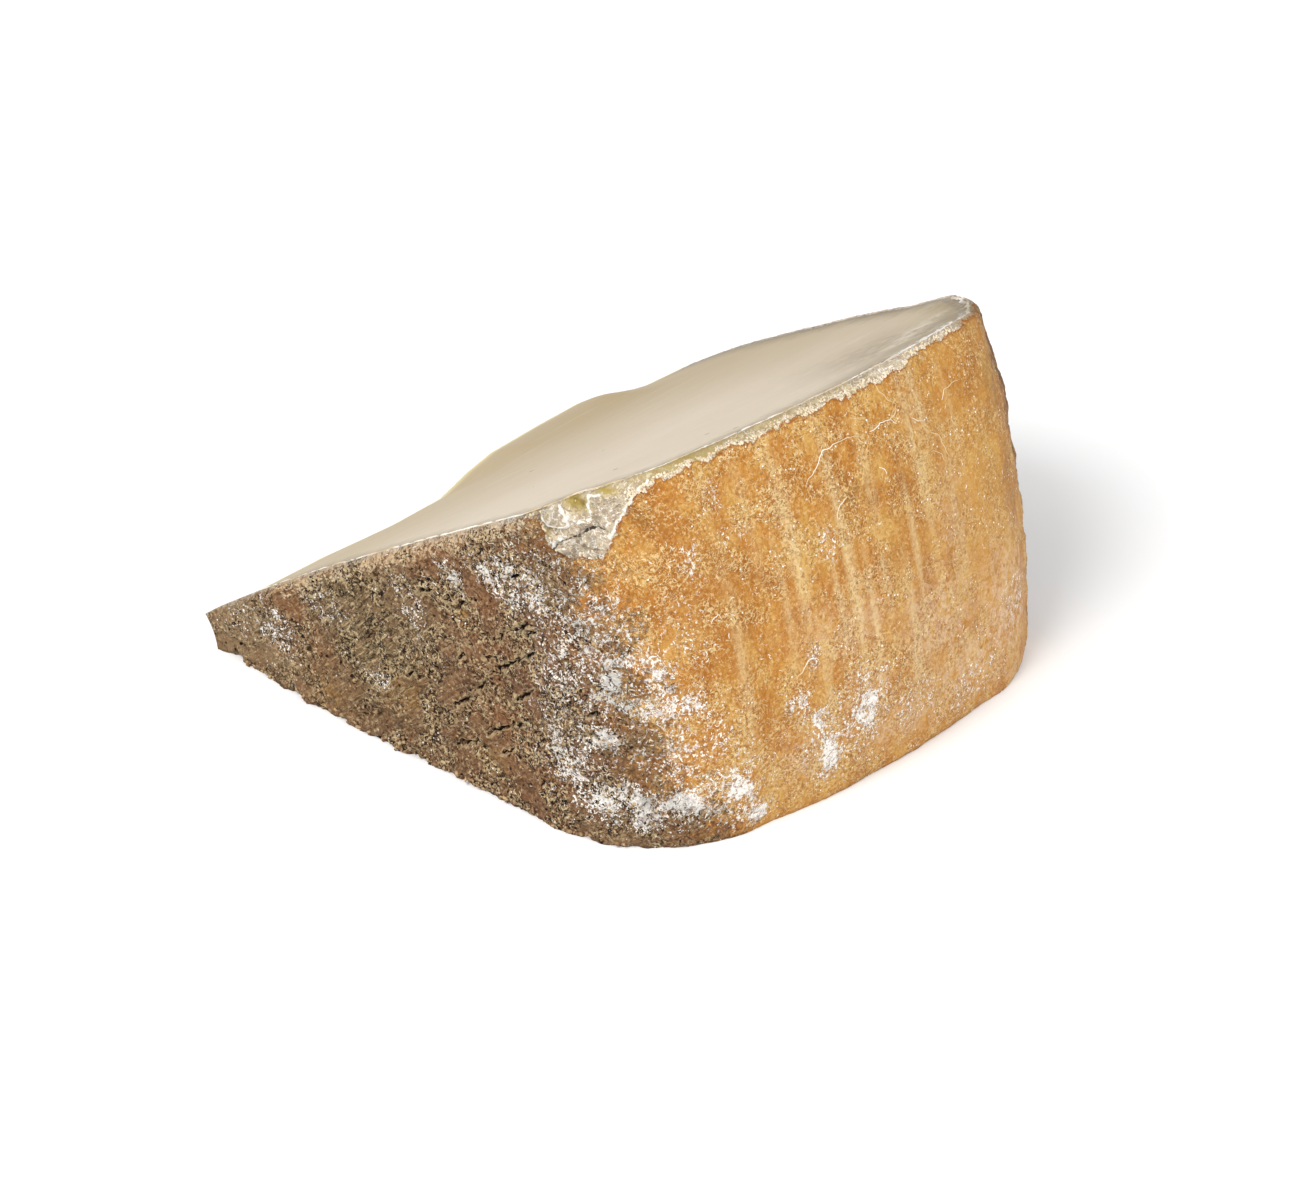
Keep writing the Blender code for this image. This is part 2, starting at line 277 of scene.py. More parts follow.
crust = {
    "heelSpan": (118.0, 223.0),
    "heelFade": 12.0,
    "noseFade": 6.0,
    "thickness": 0.8,
    "swells": (
        (8, 0, 9, 6, -1.3), (42, 0, 30, 12, 0.4), (165, 0, 24, 14, -0.6), (202, 0, 18, 10, 1.5),
        (218, 34, 26, 22, -1.6), (276, 58, 30, 22, 1.5), (225, 68, 12, 16, -1.0), (212, 10, 9, 14, -0.6),
    ),
    "lumps": (0.9, 34.0),  # height and size of each
    "crags": (0.55, 8.0, 0.6),  # height and size, and how much weaker on the heel
    "heelRipple": (0.3, 9.0, 70.0),  # height, pitch along s, length along t
    "faceGrain": (0.4, 4.6, 24.0),
    "rimBevel": (0.9, 1.4, 0.6, 3.0),  # how far in, how far down, how ragged, size of the rags
    "footBevel": (0.3, 1.4),
    # fine relief, which only shows from near: height, size, how drawn out along s
    "flakes": (0.42, 2.4, 0.6),
    "flakesOnHeel": 0.25,
    "scales": (0.26, 1.1, 0.55),
    "pits": (0.55, 1.5, 0.7),
    "pitEdge": (0.25, 0.55),
    "heelGrit": (0.07, 0.9),
    "footRagged": (0.45, 3.2, 2.2),  # height, size, how far up
    "knobRagged": (0.5, 1.2),
    # single lumps and holes: s, t, reach, height
    "knobs": (
        (10.8, 1.6, 2.4, 1.5), (8.9, 3.6, 0.9, -1.6), (39, 3, 3.2, 0.8), (52, 1.6, 2.6, 0.7),
        (28, 1.5, 2.0, 0.7), (46, 11, 3.0, 0.6), (73, 5, 3.5, 0.5), (103, 54, 2.4, 0.9),
        (98.5, 63, 2.6, 0.7), (90, 57.5, 3.0, 0.5), (42, 19, 1.1, -1.0), (48, 32, 0.9, -0.9),
        (64, 22, 1.0, -0.8), (82, 20, 1.1, -0.9), (33, 9, 1.0, -0.8),
    ),
}
cracks = {
    "depth": 1.0,
    "width": 0.34,
    "wander": (0.8, 1.6),
    "taper": 0.35,
    "lines": (
        (66.5, 15.7, 72.1, 20.0), (72.1, 20.0, 76.0, 24.8), (76.7, 29.9, 81.1, 31.5),
        (80.1, 34.5, 85.4, 38.6), (85.4, 38.6, 92.5, 43.3), (77.4, 26.7, 87.6, 34.4),
        (87.6, 34.4, 91.2, 36.8), (89.6, 39.6, 93.6, 42.1), (82.3, 22.6, 89.7, 29.1),
        (74.6, 12.6, 80.9, 17.3), (80.9, 17.3, 85.1, 19.5), (78.1, 9.9, 82.0, 13.2),
        (73.7, 44.9, 75.6, 44.8), (75.6, 44.8, 75.2, 42.3), (77.0, 41.8, 79.8, 42.4),
        (70.6, 39.0, 72.1, 40.5), (72.8, 30.8, 74.9, 32.2), (69.6, 26.6, 71.9, 28.8),
        (100.7, 27.4, 103.9, 28.7), (100.9, 23.5, 103.4, 23.4), (53.2, 17.2, 59.7, 18.9),
        (63.3, 37.3, 68.1, 40.3), (101.3, 55.7, 102.8, 53.7), (88.6, 50.3, 92.8, 52.9),
        (66.0, 7.0, 73.0, 10.5), (71.0, 37.1, 76.0, 41.0),
    ),
}
chip = {  # where crust has broken off at the near corner
    "middle": (111.0, 66.5),
    "size": (10.5, 7.5),
    "hollow": (0.55, 1.05, 0.16),  # shares of its size where the hollow begins to rise and ends, raggedness
    "fineReach": 1.15,  # the finer mesh goes this share past its size
    "fineBox": (15, 10, 12),  # how far the finer mesh is laid out along s, down and up
    "depth": 2.8,
    "lumps": (0.8, 4.5),
    "rag": (0.7, 2.2, 3),  # height and size, and how near the border
    "border": (
        (101.4, 80), (100.8, 66.5), (101.6, 60.6), (105.0, 59.8), (110.5, 60.4), (113.0, 63.0),
        (114.8, 66.3), (116.8, 68.8), (119.4, 72.0), (123.5, 80),
    ),
    # lumps left standing and hollows: s, t, reach along s, reach along t, height
    "pieces": (
        (103.6, 67.2, 1.9, 2.3, 1.7), (108.3, 70.0, 2.6, 1.5, -0.7), (115.3, 73.6, 2.2, 1.0, -0.4),
        (107.2, 67.0, 2.6, 1.1, 0.7), (109.8, 62.9, 2.9, 1.3, 1.5), (104.8, 61.2, 2.6, 0.8, 1.0),
    ),
    "pieceEdge": (0.35, 1.5, 0.5, 1.1),  # where their edge begins and ends, its raggedness and size
    "folds": (
        ((110.4, 68.4), (110.6, 70.6), (111.6, 72.2), (113.6, 73.0)),
        ((101.9, 67.6), (102.4, 65.6), (103.9, 64.9), (105.4, 65.9), (105.7, 67.4), (104.8, 69.3)),
        ((105.2, 66.6), (107.6, 66.6), (110.1, 67.4)),
        ((112.5, 64.0), (114.4, 66.1), (116.3, 68.6), (119.0, 71.7), (123.0, 75.2)),
        ((102.0, 60.9), (103.4, 62.9)),
    ),
    "foldHeight": (0.5, 0.26),  # height and width
    "wobble": (0.35, 1.3),
    "split": (
        (101.7, 60.4), (103.5, 62.4), (105.2, 63.1), (107.0, 63.8), (108.9, 65.3), (111.0, 66.0),
        (113.2, 65.0),
    ),
    "splitDepth": (0.6, 0.22),  # depth and width
    "ridges": (114.2, 69.4, 3.4, 2.8, 0.28, 1.05),  # s, t, reach along s and t, height, pitch
    "ridgeRun": (0.75, -0.66, 0.5, 1.8),  # their way across along s and t, their wander and its size
}
broken = {  # the crust's ragged edge along the upper cut
    # s, and how far down the crust has flaked off there
    "depths": (
        (0, 0.25), (60, 0.45), (95, 0.7), (112, 1.6), (122, 2.2), (137, 1.6), (148, 1.9), (163, 1.8),
        (180, 1.6), (192, 1.7), (203, 0.9), (212, 0.5), (235, 0.5), (335, 0.3),
    ),
    "jag": (0.8, 5.2),  # share of the depth, and size
    "nick": (0.5, 1.4, 1.5),  # share of the depth and size, and the depth that it is cut off at
    "setIn": 0.55,
    "edge": (-0.12, 0.16),
    "smoothing": 0.6,  # how much of the skin's own relief is lost on it
    "crumb": (0.22, 0.9),
    "lip": (0.4, 0.55, 0.3),  # height and width of the crumbled edge, and how far in it lies
    "lipRagged": (0.8, 0.8),
}


def heelShare(s):
    low, high = crust["heelSpan"]
    share = smoothStep(-crust["heelFade"], crust["heelFade"], s - low)
    return share * (1 - smoothStep(-crust["heelFade"], crust["heelFade"], s - high))


# where the heel's orange begins and ends: t, s there
heelEdges = {
    "near": (
        (0, 128), (6, 121), (16, 113), (26, 110), (34, 109), (45, 106.5), (56, 104), (64, 103), (80, 105),
    ),
    "far": ((0, 228), (30, 229), (50, 226), (62, 224), (80, 231)),
}


def intoHeel(s, t):
    near, far = (np.array(heelEdges[name]).T for name in ("near", "far"))
    return np.minimum(s - np.interp(t, *near), np.interp(t, *far) - s)


def onRind(s):
    end = outline["rindLength"]
    return smoothStep(0, crust["noseFade"], s) * (1 - smoothStep(end - crust["noseFade"], end, s))


def chipHollow(s, t):
    (middleS, middleT), (reachS, reachT) = chip["middle"], chip["size"]
    away = np.hypot((s - middleS) / reachS, (t - middleT) / reachT)
    full, gone, ragged = chip["hollow"]
    return 1 - smoothStep(full, gone, away + ragged * bumps(s, t, chip["lumps"][1], 2))


def mainRelief(s, t):
    height = rindHeight(s)
    heel = heelShare(s)
    rise, size = crust["lumps"]
    out = crust["thickness"] + rise * bumps(s, t, size, 3)
    for *shape, rise in crust["swells"]:
        out += rise * hump(s, t, *shape)
    rise, size, calm = crust["crags"]
    out += rise * (1 - calm * heel) * bumps(s, t, size, 4, 3)
    rise, pitch, length = crust["heelRipple"]
    out += rise * heel * bumps(s, t * pitch / length, pitch, 5, 2)
    rise, pitch, length = crust["faceGrain"]
    out += rise * (1 - heel) * bumps(height - t, s * pitch / length, pitch, 7, 2)
    out += (chip["lumps"][0] * bumps(s, t, chip["lumps"][1], 8, 2) - chip["depth"]) * chipHollow(s, t)
    inward, down, rag, size = crust["rimBevel"]
    ragged = 1 + rag * bumps(s, t, size, 6)
    out -= inward * ragged * (1 - smoothStep(0, down, height - t))
    inward, down = crust["footBevel"]
    out -= inward * ragged * (1 - smoothStep(0, down, t))
    return out * onRind(s)


# how far spots lie from the line between two others, along s and along t, and how far on along it
def fromLine(s, t, start, end):
    (s0, t0), (s1, t1) = start, end
    run = np.array([s1 - s0, t1 - t0], float)
    share = np.clip(((s - s0) * run[0] + (t - t0) * run[1]) / (run @ run), 0, 1)
    return s - s0 - share * run[0], t - t0 - share * run[1], share


def awayFromCracks(s, t):
    nearest = np.full(len(s), farAway)
    wander, size = cracks["wander"]
    for line in cracks["lines"]:
        awayS, awayT, share = fromLine(s, t, line[:2], line[2:])
        near = np.abs(awayS) + np.abs(awayT) < farAway
        if not near.any():
            continue
        shift = wander * bumps(s[near], t[near], size, 20)
        taper = cracks["taper"] * (2 * share[near] - 1) ** 2
        away = np.hypot(awayS[near] - shift, awayT[near] + shift)
        nearest[near] = np.minimum(nearest[near], away + taper)
    return nearest


def brokenSide(s, t):
    knots = np.array(broken["depths"]).T
    flat = np.zeros(len(s))
    depth = np.interp(s, *knots)
    share, size = broken["jag"]
    depth *= 1 + share * bumps(s, flat, size, 21)
    share, size, most = broken["nick"]
    depth += share * bumps(s, t, size, 22) * np.minimum(depth, most)
    return np.maximum(depth - (rindHeight(s) - t), insideChip(s, t))


def insideChip(s, t):
    border = np.array(chip["border"])
    away = awayFromPath(s, t, border)
    within = insideRing(np.stack([s, t], 1), border)
    rag, size, reach = chip["rag"]
    return np.where(within, away, -away) + rag * bumps(s, t, size, 23, 2) * (np.abs(away) < reach)


def awayFromPath(s, t, path):
    nearest = np.full(len(s), farAway)
    for start, end in zip(path, path[1:]):
        awayS, awayT, _ = fromLine(s, t, start, end)
        nearest = np.minimum(nearest, np.hypot(awayS, awayT))
    return nearest


def chipWobble(s, t):
    reach, size = chip["wobble"]
    return reach * bumps(s, t, size, 25)


def awayFromFolds(s, t):
    wobble = chipWobble(s, t)
    return np.min([awayFromPath(s + wobble, t - wobble, fold) for fold in chip["folds"]], axis=0)


def chipPieces(s, t):
    out = np.zeros(len(s))
    full, gone, ragged, size = chip["pieceEdge"]
    for middleS, middleT, reachS, reachT, rise in chip["pieces"]:
        away = ((s - middleS) / reachS) ** 2 + ((t - middleT) / reachT) ** 2
        out += rise * (1 - smoothStep(full, gone, away + ragged * bumps(s, t, size, 24)))
    rise, width = chip["foldHeight"]
    out += rise * np.exp(-((awayFromFolds(s, t) / width) ** 2))
    wobble = chipWobble(s, t)
    depth, width = chip["splitDepth"]
    out -= depth * np.exp(-((awayFromPath(s + wobble, t - wobble, chip["split"]) / width) ** 2))
    *shape, rise, pitch = chip["ridges"]
    alongS, alongT, wander, size = chip["ridgeRun"]
    across = alongS * (s - shape[0]) + alongT * (t - shape[1]) + wander * bumps(s, t, size, 26)
    return out + rise * hump(s, t, *shape) * np.sin(across / pitch * 2 * math.pi)


def fineRelief(s, t, side, crackAway):
    heel = heelShare(s)
    face = 1 - heel
    (rise, size, squeeze), least = crust["flakes"], crust["flakesOnHeel"]
    out = rise * (least + (1 - least) * face) * bumps(s * squeeze, t, size, 30, 2)
    rise, size, squeeze = crust["scales"]
    out += rise * face * (1 - 2 * np.abs(bumps(s * squeeze, t, size, 31, 2)))
    rise, size, squeeze = crust["pits"]
    out -= rise * face * smoothStep(*crust["pitEdge"], bumps(s * squeeze, t, size, 32))
    rise, size = crust["heelGrit"]
    out += rise * heel * bumps(s, t, size, 33, 2)
    out -= cracks["depth"] * (1 - smoothStep(0.1, 2.0 * cracks["width"], crackAway))
    inside = smoothStep(*broken["edge"], side)
    rise, size = broken["crumb"]
    crumbled = rise * bumps(s, t, size, 34, 3) - broken["setIn"]
    out = out * (1 - broken["smoothing"] * inside) + inside * crumbled
    (rise, width, middle), (ragged, size) = broken["lip"], broken["lipRagged"]
    out += rise * np.exp(-(((side - middle) / width) ** 2)) * inside * (1 + ragged * bumps(s, t, size, 35))
    out += chipPieces(s, t) * inside
    ragged, size = crust["knobRagged"]
    fall = 1 + ragged * bumps(s, t, size, 37)
    for middleS, middleT, reach, rise in crust["knobs"]:
        away = ((s - middleS) ** 2 + (t - middleT) ** 2) / reach**2
        out += rise * np.exp(-away * fall)
    rise, size, reach = crust["footRagged"]
    out += rise * face * bumps(s, t, size, 36, 3) * np.exp(-((t / reach) ** 2))
    return out * onRind(s)


rind = {
    "column": 0.36,  # spacing along both edges
    "sideRows": 24,
    "zones": ((0, 99, 0.44), (99, 224, 0.52), (224, 336, 0.95)),  # s from and to, spacing
    "crackZone": (0, 110, 0.27),
    "rimStrip": (4.2, 0.36),  # how deep below the upper cut the finer strip goes, its spacing
    "chipStep": 0.27,
    "innerDepth": 3.0,
    "innerHollow": 2.0,  # how much deeper it lies behind the hollow
    "innerStep": 5.0,
    "endTaper": 5.0,
    "rimRows": (  # how far in from the edge, how far above the cut
        (0.2, 0.10), (0.4, 0.20), (0.6, 0.20), (0.85, 0.12), (1.15, -0.05), (1.6, -0.3), (2.2, -0.6),
    ),
    "rimBump": (0.12, 0.8),
    "rimWide": 0.85,  # rows further in than this are moved in by all of rimExtra
    "rimExtra": (  # s, and how much further in the paste's edge lies there
        (0, 0), (97, 0), (104, 1.8), (110, 3.0), (116, 2.8), (121, 1.7), (127, 0.5), (140, 0.25),
        (172, 0.15), (188, 0), (340, 0),
    ),
    "innerDrop": 1.0,
    "innerRaise": 0.5,
    "jitter": 0.24,
}


def scattered(lowS, highS, lowT, highT, step, rng):
    rows = np.arange(lowT + step / 2, highT, step * math.sqrt(3) / 2)
    columns = np.arange(lowS + step / 2, highS, step)
    grid = np.stack(np.meshgrid(columns, rows), -1)
    grid[1::2, :, 0] += step / 2
    grid = grid.reshape(-1, 2)
    return grid + rng.uniform(-rind["jitter"], rind["jitter"], grid.shape) * step


def filled(ring, inner):
    points = [Vector(p) for p in np.concatenate([ring, inner])]
    sides = [(i, (i + 1) % len(ring)) for i in range(len(ring))]
    found, _, faces, _, _, _ = delaunay_2d_cdt(points, sides, [list(range(len(ring)))], 1, 1e-7)
    return np.array([tuple(p) for p in found]), faces


def endTaper(s):
    return np.clip(np.minimum(s, outline["rindLength"] - s) / rind["endTaper"], 0, 1)


def onWall(s, t, out, sweep=None):
    r, y = (alongOutline(s) + alongOutline(s, "outward") * out[:, None]).T
    return placed(r, y, t / rindHeight(s) if sweep is None else sweep)


def wallGrid(rng):
    stripDepth, stripStep = rind["rimStrip"]
    end = outline["rindLength"]
    tallest = rindHeight(np.linspace(0, end, 200)).max()
    (chipS, chipT), (reachS, reachT) = chip["middle"], chip["size"]
    chipSide, chipDown, chipUp = chip["fineBox"]

    # points laid out over a box, their depth below the cut, and which are in the chip and off the foot
    def laid(lowS, highS, step, lowT=0, highT=tallest):
        grid = scattered(lowS, highS, lowT, highT, step, rng)
        s, t = grid.T
        inChip = np.hypot((s - chipS) / reachS, (t - chipT) / reachT) < chip["fineReach"]
        return grid, rindHeight(s) - t, inChip, t > 0.6 * step

    def onCrack(grid):
        return awayFromCracks(*grid.T) < 2 * cracks["width"]

    grids = []
    for zone in rind["zones"]:
        grid, depth, inChip, high = laid(*zone)
        grids.append(grid[(depth > stripDepth) & ~inChip & ~onCrack(grid) & high])
    grid, depth, inChip, _ = laid(*rind["crackZone"])
    grids.append(grid[onCrack(grid) & (depth > stripDepth) & ~inChip])
    grid, depth, inChip, high = laid(0, end, stripStep)
    grids.append(grid[(depth < stripDepth) & (depth > 0.6 * stripStep) & ~inChip & high])
    step = rind["chipStep"]
    sideways, upright = (chipS - chipSide, chipS + chipSide), (chipT - chipDown, chipT + chipUp)
    grid, depth, inChip, _ = laid(*sideways, step, *upright)
    grids.append(grid[inChip & (depth > 0.6 * step)])
    grid = np.concatenate(grids)
    edge = 0.6 * rind["column"]
    return grid[(grid[:, 0] > edge) & (grid[:, 0] < end - edge)]


# the wall rolled out flat: lower edge, far end, upper edge and near end
def sideRing(along, farEnd, nearEnd):
    return np.concatenate([
        np.stack([along, np.zeros(len(along))], 1),
        np.stack([np.full(len(farEnd), along[-1]), farEnd], 1),
        np.stack([along, rindHeight(along)], 1)[::-1],
        np.stack([np.zeros(len(nearEnd)), nearEnd[::-1]], 1),
    ])


def clearOfEdges(grid, margin, length):
    s, t = grid.T
    return grid[(t > margin) & (t < rindHeight(s) - margin) & (s > margin) & (s < length - margin)]


def awayFromSpots(points, spots, reaches=None):
    away = np.full(len(points), 1e9)
    for index, spot in enumerate(spots):
        reach = 0.0 if reaches is None else reaches[index]
        away = np.minimum(away, np.hypot(points[:, 0] - spot[0], points[:, 1] - spot[1]) - reach)
    return away


def rimExtra(s):
    knots = np.array(rind["rimExtra"]).T
    return np.interp(s, knots[0], knots[1])


def rindPatches():
    rng = np.random.default_rng(seed)
    end = outline["rindLength"]
    columnS = np.linspace(0, end, round(end / rind["column"]) + 1)
    share = np.linspace(0, 1, rind["sideRows"] + 1)[1:-1]
    ring = sideRing(columnS, *(share * rindHeight(np.array([s])) for s in (end, 0.0)))
    outer = filled(ring, wallGrid(rng))
    coarse = scattered(0, end, 0, 90, rind["innerStep"], rng)
    coarse = clearOfEdges(coarse, 0.6 * rind["innerStep"], end)
    return outer, filled(ring, coarse), columnS, len(share)


def makeRind():
    (outer, outerFaces), (inner, innerFaces), columnS, sideCount = rindPatches()
    count = len(columnS)
    ringLength = 2 * count + 2 * sideCount
    s, t = outer.T
    crackAway = awayFromCracks(s, t)
    side = brokenSide(s, t)
    out = mainRelief(s, t) + fineRelief(s, t, side, crackAway)
    points = [onWall(s, t, out)]
    places = [np.stack([s, t, np.zeros(len(s))], 1)]
    topOut = out[count + sideCount:2 * count + sideCount][::-1]
    bottomOut = out[:count]

    # the inner wall shares both end columns with the outer one
    innerS, innerT = inner.T
    innerDepth = rind["innerDepth"] + rind["innerHollow"] * chipHollow(innerS, innerT)
    innerOut = mainRelief(innerS, innerT) - innerDepth * endTaper(innerS)
    ringTop = slice(count + sideCount, 2 * count + sideCount)
    innerOut[ringTop] = (topOut - (rind["innerDepth"] + rimExtra(columnS)) * endTaper(columnS))[::-1]
    innerOut[:count] = bottomOut - rind["innerDepth"] * endTaper(columnS)
    innerPoints = onWall(innerS, innerT, innerOut)
    lift = np.zeros(len(inner))
    lift[ringTop] = -rind["innerDrop"] * endTaper(columnS)[::-1]
    lift[:count] = rind["innerRaise"] * endTaper(columnS)
    innerPoints[:, 2] += lift
    innerIndex = np.arange(len(inner)) + len(outer)
    topEnd = 2 * count + sideCount
    shared = np.r_[0, np.arange(count - 1, count + sideCount + 1), np.arange(topEnd - 1, ringLength)]
    innerIndex[shared] = shared
    points.append(innerPoints)
    places.append(np.stack([innerS, innerT, np.full(len(inner), rind["innerDepth"])], 1))

    # rows across the top of the rind, from the outer wall in to the inner one
    rows = [np.arange(topEnd - 1, count + sideCount - 1, -1)]
    start = len(outer) + len(inner)
    topT = rindHeight(columnS)
    taper = endTaper(columnS)
    extra = rimExtra(columnS)
    bump, size = rind["rimBump"]
    for inset, rise in rind["rimRows"]:
        setIn = inset + extra * min(inset / rind["rimWide"], 1)
        spot = onWall(columnS, topT, topOut - setIn * taper)
        spot[:, 2] += taper * (rise + (bump + bump * extra) * bumps(columnS, setIn, size, 40, 2))
        row = np.arange(start, start + count)
        row[0], row[-1] = rows[0][0], rows[0][-1]
        rows.append(row)
        points.append(spot)
        places.append(np.stack([columnS, topT, setIn], 1))
        start += count
    rows.append(innerIndex[rows[0]])

    faces = [tuple(face) for face in outerFaces]
    faces += [tuple(innerIndex[i] for i in face[::-1]) for face in innerFaces]
    for lower, upper in zip(rows, rows[1:]):
        faces += strip(lower, upper)
    faces += strip(innerIndex[:count], np.arange(count))
    places = np.concatenate(places)
    piece = meshPiece("rind", np.concatenate(points), faces)
    s, t, inset = places.T
    setField(piece, "rindPlace", places)
    setField(piece, "intoHeel", intoHeel(s, t))
    setField(piece, "crackAway", pad(crackAway, len(places), farAway))
    setField(piece, "brokenSide", pad(side, len(places), 3.0))
    setField(piece, "pastPaste", inset - paste["inset"] - rimExtra(s) - (rindHeight(s) - t))
    setField(piece, "belowCut", rindHeight(s) - t)
    setField(piece, "foldAway", awayFromFolds(s, t))
    setField(piece, "splitAway", awayFromPath(s, t, chip["split"]))
    for name, blobs in marks.items():
        setField(piece, name, blobField(s, t, blobs))
    return piece


def pad(values, length, fill):
    return np.concatenate([values, np.full(length - len(values), fill)])


def strip(lower, upper):
    faces = []
    for a, b, c, d in zip(lower, lower[1:], upper[1:], upper):
        corners = []
        for corner in (a, b, c, d):
            if int(corner) not in corners:
                corners.append(int(corner))
        if len(corners) > 2:
            faces.append(tuple(corners))
    return faces


def meshPiece(name, points, faces):
    used = np.unique(np.fromiter((i for face in faces for i in face), int))
    mesh = bpy.data.meshes.new(name)
    mesh.from_pydata((points * mm).tolist(), [], [tuple(int(i) for i in face) for face in faces])
    mesh.update()
    mesh.shade_smooth()
    piece = bpy.data.objects.new(name, mesh)
    bpy.context.scene.collection.objects.link(piece)
    triangles = sum(len(face) - 2 for face in faces)
    print(name, len(points), "points", len(points) - len(used), "loose", triangles, "triangles")
    return piece


def setField(piece, name, values):
    kind = "FLOAT_VECTOR" if values.ndim == 2 else "FLOAT"
    field = piece.data.attributes.new(name, kind, "POINT")
    field.data.foreach_set("vector" if values.ndim == 2 else "value", values.astype(np.float32).ravel())


